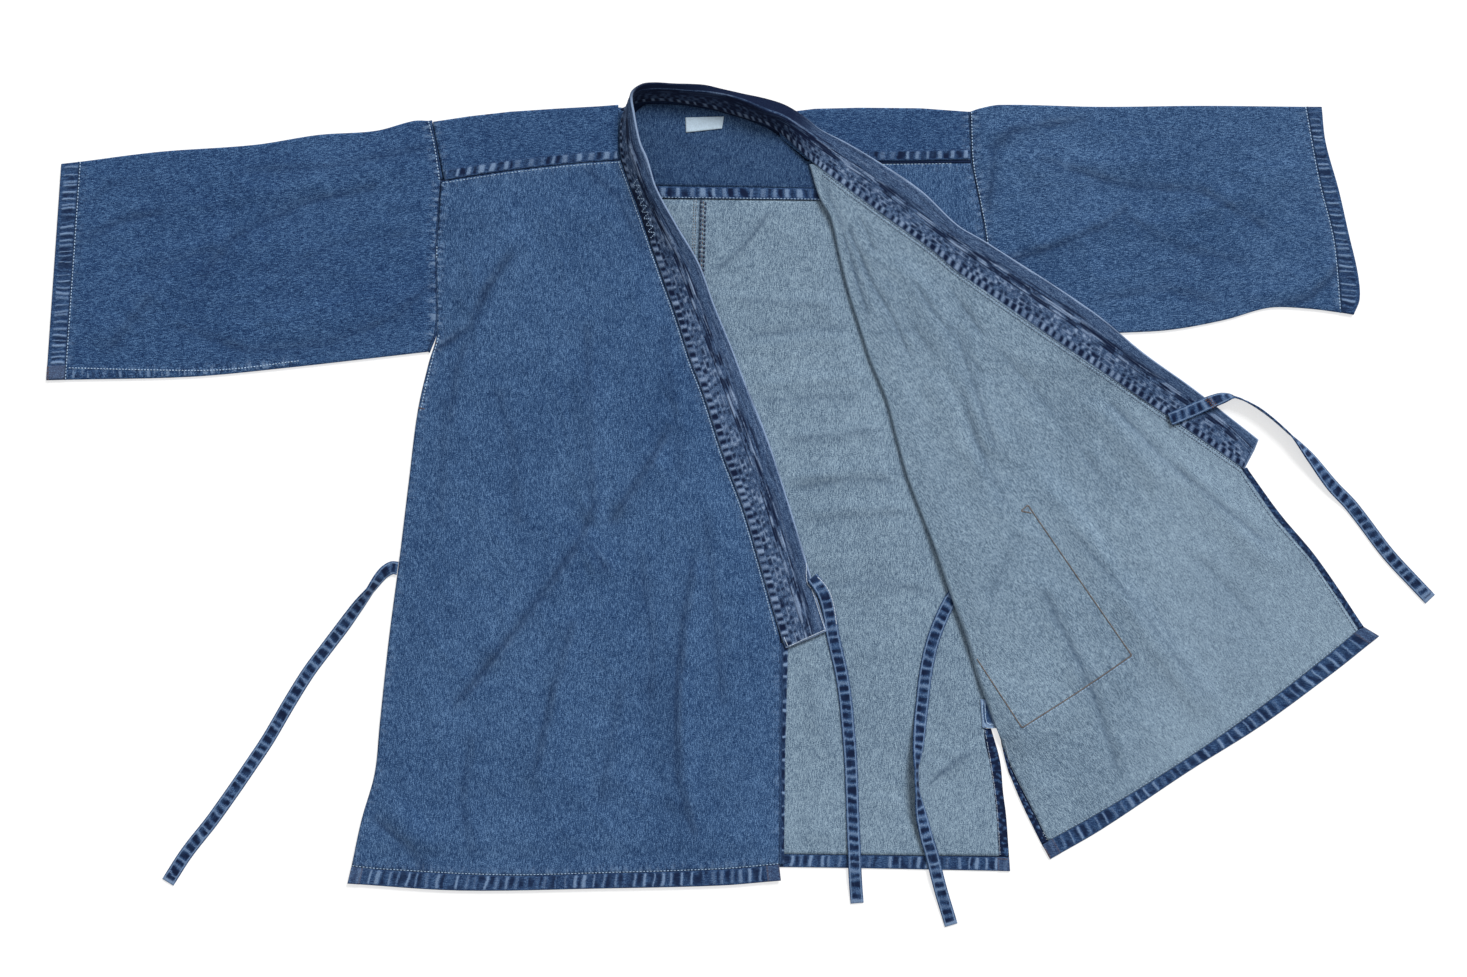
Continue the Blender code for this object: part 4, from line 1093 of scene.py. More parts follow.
def ribbed(name, inner, outer, base, style, seed, node, thick, step=0.9, tacks=(), fit=0.8):
    """A turned strip between two lines, roped along its whole length."""
    inner, outer = Line(inner), Line(outer)
    width = (inner.place(0.5) - outer.place(0.5)).length
    length = (inner.length + outer.length) / 2.0
    columns, rows = round(length / step), max(round(width / RIB_ROW), LEAST_ROWS)

    def face(u, v):
        x, y = inner.place(u).lerp(outer.place(u), v)
        height, wear = roping(u * length, v, style, seed)
        for tack in tacks:
            near = smooth(7.5, 6.0, abs(u * length - tack * length))
            rim = smooth(4.6, 6.4, abs(u * length - tack * length)) * near
            height = blend(height, 0.35, 0.7 * near)
            wear = tuple(blend(w, t, 0.7 * near) for w, t in zip(wear, (0.22 - 0.1 * rim, 0.15, 0.12 + 0.7 * rim)))
        return Spot(at(x, y, base(x, y) + thick + height), (y, x, 0.0), wear=wear)
    cloth(name, columns, rows, face, HEM, node, thick=thick * fit)


ribbed("back_hem", BACK_HEM_TOP, BACK_HEM_EDGE, flat_at(0.0), "hem", 11.0, "hem_back", HEM_WALL, tacks=(0.992,))
ribbed("right_front_hem", RIGHT_HEM_TOP, RIGHT_HEM_EDGE, right_front_base, "hem", 23.0, "hem_front_right", HEM_WALL,
       tacks=(0.012, 0.985))

# %% [markdown]
# ## Yoke and its lining
#
# The yoke is one straight cloth over the shoulders. It is swept here from its back seam up,
# round the shoulder fold and down to its front seams, with the neck left open. The lining
# is a second layer under the neck, with a felled lower edge that ropes like a hem.

# %% Yoke
YOKE_RADIUS = (LAYER + YOKE_LIFT + CLOTH) / 2.0
YOKE_ROWS = dict(back=8, fold=10, front=26)
YOKE_COLUMNS = 190
RIGHT_ARMHOLE = RIGHT_SLEEVE["armhole"]
LEFT_ARMHOLE = LEFT_SLEEVE["armhole"]
YOKE_SEAMS = [sewn(RIGHT_YOKE_SEAM, 1.0), sewn(RIGHT_ARMHOLE[:3], 0.8), sewn([(870, 162), (970, 161)], 1.0),
              sewn(LEFT_ARMHOLE[:2], 0.8)]


def section_mix(key, place, first, last):
    """A yoke section's corner between two rows of the table."""
    place = min(max(place, first), last)
    index = min(int(place), last - 1)
    a, b = Vector(YOKE_SECTIONS[index][key]), Vector(YOKE_SECTIONS[index + 1][key])
    return a.lerp(b, place - index)


def yoke_face(u, v):
    last = len(YOKE_SECTIONS) - 1
    place, step = u * last, v * sum(YOKE_ROWS.values())
    back, top = section_mix("back", place, 0, last), section_mix("top", place, 0, last)
    on_neck = NECK_SECTIONS[0] < place < NECK_SECTIONS[1]
    if step <= YOKE_ROWS["back"]:
        share = step / YOKE_ROWS["back"]
        inset = 0.0 if on_neck else YOKE_RADIUS
        x, y = back.lerp(top + Vector((0, inset)), share)
        return Spot(at(x, y, 0.0), (y, x, 0))
    step -= YOKE_ROWS["back"]
    if step <= YOKE_ROWS["fold"]:
        angle = math.pi * step / YOKE_ROWS["fold"]
        z = YOKE_RADIUS * (1.0 - math.cos(angle))
        x, y = top.x, top.y + YOKE_RADIUS * (1.0 - math.sin(angle))
        return Spot(at(x, y, z), (y - z, x, 0), nearest_seam(x, y, YOKE_SEAMS))
    share = (step - YOKE_ROWS["fold"]) / YOKE_ROWS["front"]
    front = section_mix("front", place, 0, NECK_SECTIONS[0]) if place <= NECK_SECTIONS[0] else \
        section_mix("front", place, NECK_SECTIONS[1], last)
    x, y = (top + Vector((0, YOKE_RADIUS))).lerp(front, share)
    seam = nearest_seam(x, y, YOKE_SEAMS)
    lift = 0.5 * rumple(x, y, 60.0, 6.0, 0.2) * smooth(0.0, 0.25, share) * smooth(4.0, 14.0, seam[1])
    return Spot(at(x, y, 2.0 * YOKE_RADIUS + lift), (y, x, 0), seam)


def yoke_keep(u, v):
    place = u * (len(YOKE_SECTIONS) - 1)
    return v * sum(YOKE_ROWS.values()) < YOKE_ROWS["back"] or not NECK_SECTIONS[0] < place < NECK_SECTIONS[1]


cloth("yoke_cloth", YOKE_COLUMNS, sum(YOKE_ROWS.values()), yoke_face, SLEEVE, "yoke",
      keep=yoke_keep)


# %% Lining and its felled edge
def lining_face(u, v):
    x, y = lining_place(u, v)
    lift = 0.3 + 0.8 * rumple(x, y, 44.0, 8.0, 0.3) + 0.4 * waves(x, y, 24.0, 5.0)
    room = smooth(636.0, 660.0, x) * smooth(835.0, 790.0, x) * smooth(108.0, 140.0, y) * smooth(192.0, 180.0, y)
    return Spot(at(x, y, LAYER + CLOTH + max(lift, 0.0) * room), (x, y, 0))


lining_place = stretched(Line(LINING_NECK, 1), Line(LINING_HEM), Line([(445, 126), (446, 184)]),
                         Line([(962, 115), (965, 190.5)]))
cloth("yoke_lining_cloth", 150, 26, lining_face, LINING, "yoke_lining")
ribbed("lining_hem_strip", LINING_HEM, LINING_EDGE, flat_at(LAYER), "felled", 37.0, "lining_hem", 1.3)
yoke_top = flat_at(2.0 * YOKE_RADIUS + 0.02)
ribbed("right_yoke_fell", places("446 170, 508 160.5, 579 153, 617 150.5"),
       places("446 180.5, 508 171.2, 579 163.4, 618 160.4"), yoke_top, "felled", 39.0, "yoke", 0.7, fit=0.6)
ribbed("left_yoke_fell", places("868 151, 925 150.5, 967 149.5"), places("868 161.6, 925 161, 968 160"),
       yoke_top, "felled", 40.0, "yoke", 0.7, fit=0.6)

# %% [markdown]
# ## Seam allowances
#
# The panels meet edge to edge, and on the real jacket the turned-in edges lie under each
# seam. Narrow dark strips stand for them here, within the thickness of the cloth, so that
# no floor shines through a seam.

# %% Strips under the seams
ALLOWANCE = 0.3


def allowance(name, points, half, base, dark):
    """A narrow strip under a seam."""
    inner, outer = (Line(beside(points, offset), 1) for offset in (-half, half))
    count = max(round(inner.length / 4.0), 2)

    def face(u, v):
        x, y = inner.place(v).lerp(outer.place(v), u)
        return Spot(at(x, y, base(x, y) + ALLOWANCE + 0.3), (x, y, 0), wear=(0, dark, 0))
    cloth("allowance_" + name, 2, count, face, HEM, None, thick=ALLOWANCE)


def beside(points, offset):
    """A line moved sideways by some millimetres, to the right of its way on the board."""
    line = Line(points, 4)
    moved = []
    for index, point in enumerate(line.points):
        ahead = line.points[min(index + 1, len(line.points) - 1)]
        behind = line.points[max(index - 1, 0)]
        way = (ahead - behind).normalized()
        moved.append(tuple(point + Vector((-way.y, way.x)) * offset))
    return moved


NECK_RING = places("""
    622 112, 630 108, 640 103, 655 102.5, 680 103.5, 714 109.5, 745 118, 766 126, 784 138, 797 151, 810 164""")
left_hem_line = places("1042 845, 1120 803, 1190 757, 1262 706, 1364 627")
DEEP_SEAM, OPEN_SEAM = 0.75, 0.25
for allowance_name, way, half, base in [
        ("armhole_right", RIGHT_ARMHOLE, 2.2, flat_at(0.2)), ("armhole_left", LEFT_ARMHOLE, 2.2, flat_at(0.2)),
        ("armhole_right_top", RIGHT_ARMHOLE[:3], 2.2, flat_at(2.5)),
        ("armhole_left_top", LEFT_ARMHOLE, 2.2, flat_at(2.2)),
        ("armhole_right_front", RIGHT_ARMHOLE[2:], 2.2, flat_at(LAYER + 0.2)),
        ("centre_back", CENTRE_BACK, 2.0, flat_at(0.1)), ("neck", NECK_RING, 3.2, flat_at(0.9)),
        ("neck_corner", places("628 112, 636 107, 650 104"), 5.0, flat_at(0.5)),
        ("yoke_back", places("442 197, 640 198.5, 978 203"), 2.0, flat_at(0.1)),
        ("yoke_front_right", RIGHT_YOKE_SEAM, 1.6, flat_at(LAYER + YOKE_LIFT)),
        ("yoke_front_left", [(868, 162.5), (970, 162)], 1.6, flat_at(LAYER + YOKE_LIFT)),
        ("back_slit", [(984, 727)] + BACK_SLIT_INNER, 1.6, flat_at(0.1)),
        ("back_hem", BACK_HEM_TOP, 1.6, flat_at(0.1)), ("right_hem", RIGHT_HEM_TOP, 1.6, right_front_base),
        ("band_right", BAND_SEAM, 1.8, right_front_base),
        ("front_slit", FRONT_SLIT_INNER, 1.6, turned_front_base),
        ("front_edge", FRONT_EDGE_INNER, 1.6, turned_front_base),
        ("left_hem", left_hem_line, 2.2, turned_front_base),
        ("band_left", BAND_SEAM_LEFT, 1.6, turned_front_base),
        ("cuff_right", RIGHT_SLEEVE["cuff"], 1.6, flat_at(1.6)),
        ("cuff_left", LEFT_SLEEVE["cuff"], 1.6, flat_at(1.6))]:
    allowance(allowance_name, way, half, base, OPEN_SEAM if "armhole" in allowance_name else DEEP_SEAM)

# %% [markdown]
# ## Right front
#
# The right front lies flat, outside up. Its creases are the listed ridges plus two
# fields of rumples, one long and one short. They fade towards the seams, which hold the
# cloth down. The armhole and yoke seams pucker the cloth beside them.

# %% Right front panel
RIGHT_FRONT_SEAMS = [sewn(RIGHT_YOKE_SEAM, 0.45), sewn(RIGHT_ARMHOLE[2:6], 1.0), sewn(RIGHT_SIDE[3:6], 0.9),
                     sewn(RIGHT_SIDE[5:], 0.4), sewn(BAND_SEAM, 0.35), sewn(RIGHT_HEM_TOP, 0.5)]
right_front_place = stretched(Line(RIGHT_YOKE_SEAM), Line(RIGHT_HEM_TOP),
                              Line([(442, 182)] + RIGHT_SIDE[1:-1] + [(352, 866)]), Line(BAND_SEAM))


def right_front_face(u, v):
    x, y = right_front_place(u, v)
    fade = side_fade(x, y)
    small = 1.2 + 1.3 * rumple(x, y, 95.0, 12.0, 1.35, 0.4) + 0.8 * rumple(x, y, 42.0, 15.0, 1.1)
    small += 0.9 * waves(x, y, 30.0, 17.0) + 0.3 * waves(x, y, 12.0, 18.0) + 0.5 * crease(x, y, RIGHT_FRONT_FOLDS)
    dip, line = furrow(x, y, FRONT_FURROWS)
    # Painted shade along the furrows, and the crease line for the shader's painted line of shade and highlight.
    return Spot(at(x, y, right_front_base(x, y) + CLOTH + max(small - FURROW_DEPTH * dip, -0.2) * fade), (x, y, 0),
                nearest_seam(x, y, RIGHT_FRONT_SEAMS), (0, shaded(OUTSIDE_SHADE * dip), 0), line)


cloth("right_front_cloth", 120, 190, right_front_face, OUTSIDE, "front_right", backing=INSIDE)


# %% Turned front edge below the band
RIGHT_EDGE_SEAM = 779.3
RIGHT_EDGE_TOP = 643.0
RIGHT_EDGE_LENGTH = 221.0


def right_edge_face(u, v):
    y = RIGHT_EDGE_TOP + RIGHT_EDGE_LENGTH * v
    right = across(places("788 643, 785 760, 784 864"), y)
    x = RIGHT_EDGE_SEAM + (right - RIGHT_EDGE_SEAM) * u
    height, wear = roping(v * RIGHT_EDGE_LENGTH, u, "edge", 51.0)
    base = LAYER + HEM_LIFT * smooth(805, 845, y) + CLOTH
    wear = (wear[0], max(wear[1], 0.5 * smooth(0.1, 0.3, u) * (1.0 - wear[0])), 0.0)
    return Spot(at(x, y, base + 0.5 * height), (x, y, 0), wear=wear)


cloth("right_front_edge", 9, 230, right_edge_face, HEM, "edge_front_right")

# %% [markdown]
# ## Left front, turned back
#
# The left front is one cloth again: it lies on the back, turns over at a soft fold from the
# neck down to the side slit, and comes back with its pale inside up. The sweep runs along
# the fold, so that the roll of the fold and the long creases beside it stay smooth.

# %% Left front panel
LEFT_ROWS, UNDER, BEND, OVER = 205, 30, 10, 118
SECTION_LAST = len(LEFT_FRONT_SECTIONS) - 1
PATH_STEPS = 8
FOLD_PATH, SIDE_PATH, EDGE_PATH = (flowing([s[key] for s in LEFT_FRONT_SECTIONS], PATH_STEPS)
                                   for key in ("fold", "side", "edge"))
LEFT_SEAMS = [sewn(BAND_SEAM_LEFT, 0.55), sewn(FRONT_EDGE_INNER, 0.7),
              sewn(FRONT_SLIT_INNER, 0.7), sewn(places("1042 845, 1120 805, 1190 758, 1262 706, 1364 627"), 0.6),
              sewn(places("1131 655, 1075 693, 1021 727"), 1.0)]
HIDDEN_SEAMS = [sewn([(870, 163.5), (970, 163)], 0.5), sewn(LEFT_ARMHOLE[1:], 0.9)]
TURNED_RUMPLES = [dict(size=120.0, seed=41.0, turn=1.1, slim=0.32, height=0.9),
                  dict(size=60.0, seed=43.0, turn=0.9, slim=0.45, height=0.5)]


def path_place(path, index):
    """A path's place at a section number, which may lie between two sections."""
    place = min(max(index, 0.0), SECTION_LAST) * PATH_STEPS
    low = min(int(place), len(path) - 2)
    return path[low].lerp(path[low + 1], place - low)


def turned_edge(index):
    """The turned-back part's edge: along the band's seam, then its own front edge."""
    x, y = path_place(EDGE_PATH, index)
    if y < FRONT_EDGE_INNER[0][1]:
        return Vector((x, below_band(x) + 0.3))
    return Vector((across(FRONT_EDGE_INNER, y), y))


def left_front_face(u, v):
    index, step = v * SECTION_LAST, u * (UNDER + BEND + OVER)
    side, fold = path_place(SIDE_PATH, index), path_place(FOLD_PATH, index)
    has_fold = index <= SLIT_TOP_SECTION
    radius = fold_radius(fold.y) if has_fold else 0.0
    centre = fold + Vector((radius, 0))
    base = under_front_base(*centre)
    edge = turned_edge(index)
    if step <= UNDER:
        x, y = side.lerp(centre, step / UNDER)
        seam = nearest_seam(x, y, HIDDEN_SEAMS) if y < 345.0 else NO_SEAM
        lift = 0.5 * rumple(x, y, 50.0, 44.0, 0.4) * smooth(2.0, 14.0, seam[1]) if y < 330.0 else 0.0
        return Spot(at(x, y, under_front_base(x, y) + CLOTH - WALL + lift), (-x, y, 0), seam)
    if step <= UNDER + BEND and has_fold:
        angle = math.pi * (step - UNDER) / BEND
        x, y = centre.x - radius * math.sin(angle), centre.y
        z = base + radius * (1.0 - math.cos(angle))
        return Spot(at(x, y, z), (x + z, y, 0), wear=(0.25 * math.sin(angle), 0, 0))
    share = max((step - UNDER - BEND) / OVER, 0.0)
    low = min(int(index), SECTION_LAST - 1)
    bulges = [LEFT_FRONT_SECTIONS[low + i].get("bulge", 0.0) for i in (0, 1)]
    bow = blend(*bulges, index - low) * 4.0 * share * (1.0 - share)
    place = centre.lerp(edge, share) + BULGE_WAY * bow
    x, y = place
    run = share * (edge - centre).length
    puff = 0.0
    if has_fold:
        puff = max(base + 2.0 * radius - CLOTH - turned_front_base(*centre), 0.0) * math.exp(-(run / 40.0) ** 2)
    small = sum(r["height"] * rumple(x, y, r["size"], r["seed"], r["turn"], r["slim"]) for r in TURNED_RUMPLES)
    small += 0.6 * waves(x, y, 30.0, 47.0) + 0.3 * waves(x, y, 12.0, 48.0)
    dip, line = furrow(x, y, TURNED_FURROWS)
    held = smooth(0.0, 10.0, run) * clear_of_hem(x, y)
    dip *= held
    small = (max(small, -0.2) * turned_room(x, y)
             + (1.2 - FURROW_DEPTH * dip) * smooth(0.0, 20.0, run) * clear_of_hem(x, y))
    z = turned_front_base(x, y) + puff + CLOTH + max(small, -0.3)
    along_cut = Vector((0.6, 0.8)).dot((x, y))
    across_cut = Vector((0.8, -0.6)).dot((x, y))
    # Painted shade along the furrows, with the crease line for the shader's painted line of shade and highlight; the
    # pale channel also rises towards the right, from x 1040 to 1200 mm.
    return Spot(at(x, y, z), (across_cut, along_cut, 0), nearest_seam(x, y, LEFT_SEAMS),
                (0.28 * smooth(1040.0, 1200.0, x), shaded(INSIDE_SHADE * dip), 0), (line[0] * held, line[1], 0))


def left_front_keep(u, v):
    return v * SECTION_LAST < SLIT_TOP_SECTION or u * (UNDER + BEND + OVER) > UNDER + BEND


cloth("left_front_cloth", UNDER + BEND + OVER, LEFT_ROWS, left_front_face, INSIDE, "front_left",
      keep=left_front_keep, backing=OUTSIDE)


# %% Its hem, front edge, slit edge and pocket
def turned_hem_top(share):
    centre, edge = path_place(FOLD_PATH, SECTION_LAST), turned_edge(SECTION_LAST)
    return centre.lerp(edge, share) + BULGE_WAY * 40.0 * share * (1.0 - share)


left_hem_top = [(1042, 845)] + [tuple(turned_hem_top(i / 12)) for i in range(13)] + [(1364, 627)]
ribbed("left_front_hem", left_hem_top, LEFT_HEM_EDGE, turned_front_base, "hem", 29.0, "hem_front_left", HEM_WALL,
       tacks=(0.015, 0.985))


def selvage(name, inner, outer, base, node, seed, dark):
    """A narrow raw edge, dark with a frayed pale line along one side."""
    inner, outer = Line(inner), Line(outer)

    def face(u, v):
        x, y = inner.place(v).lerp(outer.place(v), u)
        grain = noise.noise((v * inner.length / 3.0, u * 2.0, seed))
        frayed = smooth(0.75, 1.0, 1.0 - u) * smooth(-0.2, 0.2, grain)
        return Spot(at(x, y, base(x, y) + CLOTH + 0.35 * grain), (x, y, 0),
                    wear=(0.8 * frayed, dark * smooth(0.35, -0.1, grain), 0))
    cloth(name, 8, round(inner.length / 1.3), face, HEM, node)


selvage("front_edge_cloth", [(1241.5, 468.5)] + FRONT_EDGE_INNER, [(1247, 467.5)] + FRONT_EDGE_OUTER,
        turned_front_base, "edge_front_left", 61.0, 0.7)
selvage("slit_edge_front_cloth", [(1001, 731)] + FRONT_SLIT_INNER[1:], [(998.5, 731)] + FRONT_SLIT_OUTER[1:],
        turned_front_base, "slit_edge_front", 63.0, 1.0)
selvage("slit_edge_back_cloth", [(984, 728.5)] + BACK_SLIT_INNER[1:], [(991, 728.5)] + BACK_SLIT_OUTER[1:],
        flat_at(0.0), "slit_edge_back", 65.0, 1.0)

pocket_place = stretched(*[Line(POCKET_EDGES[key]) for key in ("top", "bottom", "left", "right")])


def pocket_face(u, v):
    x, y = pocket_place(u, v)
    return Spot(at(x, y, pile(x, y) + 0.3 + CLOTH), (x, y, 0))


cloth("pocket_cloth", 16, 24, pocket_face, OUTSIDE, "pocket")

# %% [markdown]
# ## Sleeves and cuffs
#
# A sleeve is a flattened tube. The section of the tube is worked out once: flat underneath,
# a small round at each edge, flat on top. The grid runs round that section and along the
# sleeve, and its first and last rows are merged. The cuffs are short tubes with ribs.

# %% Flattened tubes
SLEEVE_THICK = 3.4
SLEEVE_GRID = dict(under=10, over=84, along=112)
CUFF_THICK = 4.0
CUFF_STEP = 0.85


def tube_section(width, thick, under, over, round_steps=5):
    """Share across, height and layer of each point round a flattened tube."""
    near = thick / 2.0 / width
    section = [(near + (1 - 2 * near) * i / under, 0.0, "under") for i in range(under + 1)]
    for i in range(1, round_steps):
        angle = math.pi * i / round_steps
        section.append((1 - near + near * math.sin(angle), thick / 2 * (1 - math.cos(angle)), "edge"))
    section += [(1 - near - (1 - 2 * near) * i / over, thick, "over") for i in range(over + 1)]
    for i in range(1, round_steps):
        angle = math.pi * i / round_steps
        section.append((near - near * math.sin(angle), thick / 2 * (1 + math.cos(angle)), "edge"))
    return section + section[:1]


def sleeve(name, edges, folds, furrows, material, node, seed, seams, free):
    lines = [Line(edges[key]) for key in ("cuff", "armhole", "top", "bottom")]
    place = stretched(*lines)
    width = lines[0].length
    section = tube_section(width, SLEEVE_THICK, SLEEVE_GRID["under"], SLEEVE_GRID["over"])

    def face(u, v):
        share, z, layer = section[round(u * (len(section) - 1))]
        x, y = place(share, v)
        turned = 2.0 * width - share * width if layer == "under" else share * width
        if layer != "over":
            return Spot(at(x, y, z), (turned, v * lines[2].length, 0))
        room = smooth(0.0, 0.16, min(share, 1.0 - share)) * free(x, y) * smooth(0.0, 0.03, v) * smooth(1.0, 0.95, v)
        small = 1.3 * crease(x, y, folds) + 1.3 * rumple(x, y, 90.0, seed, -0.25, 0.35)
        small += 0.9 * rumple(x, y, 40.0, seed + 2.0, 0.3) + 0.7 * waves(x, y, 28.0, seed + 4.0)
        small += 0.25 * waves(x, y, 11.0, seed) + 0.8
        dip, line = furrow(x, y, furrows)
        lift = max(small - FURROW_DEPTH * dip, 0.0) * room
        # Painted shade along the furrows, and the crease line for the shader's painted line of shade and highlight.
        return Spot(at(x, y, z + lift), (turned, v * lines[2].length, 0), nearest_seam(x, y, seams),
                    (0, shaded(0.75 * OUTSIDE_SHADE * dip), 0), line)
    cloth(name, len(section) - 1, SLEEVE_GRID["along"], face, material, node, tube=True)


def over_sleeve(x, y):
    """Share of freedom of the left sleeve: none where the turned-back front lies on it."""
    return smooth(26.0, 60.0, distance_above(*BAND_PATH, x, y))


sleeve("right_sleeve_cloth", RIGHT_SLEEVE, RIGHT_SLEEVE_FOLDS, RIGHT_SLEEVE_FURROWS, SLEEVE, "sleeve_right", 71.0,
       [sewn(RIGHT_ARMHOLE, 1.0), sewn(RIGHT_SLEEVE["cuff"], 0.4), sewn(places("69 377, 190 374, 300 365"), 0.9)],
       flat_at(1.0))
sleeve("left_sleeve_cloth", LEFT_SLEEVE, LEFT_SLEEVE_FOLDS, LEFT_SLEEVE_FURROWS, OUTSIDE, "sleeve_left", 81.0,
       [sewn(LEFT_ARMHOLE, 0.9), sewn(LEFT_SLEEVE["cuff"], 0.4)], over_sleeve)


def cuff(name, edges, node, seed, tack):
    lines = [Line(edges[key]) for key in ("cuff", "armhole", "top", "bottom")]
    place = stretched(*lines)
    length = lines[0].length
    section = tube_section(length, CUFF_THICK, 12, round(length / CUFF_STEP))

    def face(u, v):
        share, z, layer = section[round(u * (len(section) - 1))]
        x, y = place(share, v)
        if layer != "over":
            return Spot(at(x, y, z), (y, x, 0), wear=(0.1, 0.4, 0))
        height, wear = roping(share * length, 1.0 - v, "cuff", seed)
        near = smooth(16.0, 13.5, (1.0 - share) * length) if tack else 0.0
        wear = tuple(blend(w, t, near) for w, t in zip(wear, (0.25, 0.15, 0.2)))
        height = blend(height, 0.2, near)
        room = smooth(0.0, 0.012, min(share, 1.0 - share))
        return Spot(at(x, y, z + height * room), (y, x, 0), wear=wear)
    cloth(name, len(section) - 1, 16, face, HEM, node, thick=1.1, tube=True)


cuff("right_cuff_cloth", RIGHT_CUFF, "cuff_right", 91.0, True)
cuff("left_cuff_cloth", LEFT_CUFF, "cuff_left", 93.0, False)

# %% [markdown]
# ## Neckband
#
# The band is the richest piece: a long folded strip, stitched in rows over its inner two
# thirds and plain outside. It lies flat on the fronts and stands up behind the neck. A tube
# is swept along its sections. Between the rows of stitches the cloth stands up in little
# blocks, pale where they were rubbed and navy between.

# %% Neckband
BAND_THICK = 2.7
BAND_SOLID_THICK = 3.2
BAND_STEP = 1.3
SECTION_STEPS = 10
BAND_ACROSS = dict(stitched=26, plain=9)
BAND_FLAT_LIFT = 2


def band_heights(section):
    """Heights of the seam, the ridge and the free edge of one section."""
    seam, ridge, free = section["seam"], section["ridge"], section["free"]
    tilt = section["lift"][0] / math.hypot(section["lift"][0], math.dist(seam, ridge))
    shift = tilt * BAND_SOLID_THICK * 0.6 / math.dist(seam, ridge)
    seam = tuple(a + (b - a) * shift for a, b in zip(seam, ridge))
    low = section.get("base", band_base(*seam) + tilt * 0.3)
    if section["lift"][0] <= BAND_FLAT_LIFT:
        heights = (low, band_base(*ridge) + section["lift"][0], band_base(*free) + section["lift"][1])
    else:
        heights = (low, low + section["lift"][0], low + section["lift"][1])
    return [(*place, height + BAND_SOLID_THICK / 2.0) for place, height in zip((seam, ridge, free), heights)]


corners = [band_heights(section) for section in BAND_SECTIONS]
BAND_LINES = [flowing([row[i] for row in corners], SECTION_STEPS) for i in range(3)]
band_reach = reaches(BAND_LINES[1])
BAND_LENGTH = band_reach[-1]
STITCHED_WIDTH = 29.0
PLAIN_WIDTH = 13.0


def band_middle(run, across_band):
    """A place on the band's middle layer: run in millimetres, across from 0 to 2 ridge-wise."""
    low, part = found(band_reach, min(max(run, 0.0), BAND_LENGTH))
    seam, ridge, free = (line[low].lerp(line[low + 1], part) for line in BAND_LINES)
    if across_band <= 1.0:
        return seam.lerp(ridge, across_band)
    return ridge.lerp(free, across_band - 1.0)


BAND_ROW_EDGES = [0.0, 7.2, 12.0, 16.4, 20.6, 24.8, 29.0]
BAND_LADDERS = {1: (8.8, 1.8, 1.0), 2: (7.2, 1.5, 0.85), 3: (10.6, 2.2, 0.7)}
NECK_SHADE = [band_reach[SECTION_STEPS * section] for section in (13, 15, 23, 26)]
ZIGZAG = [band_reach[88], band_reach[102]]


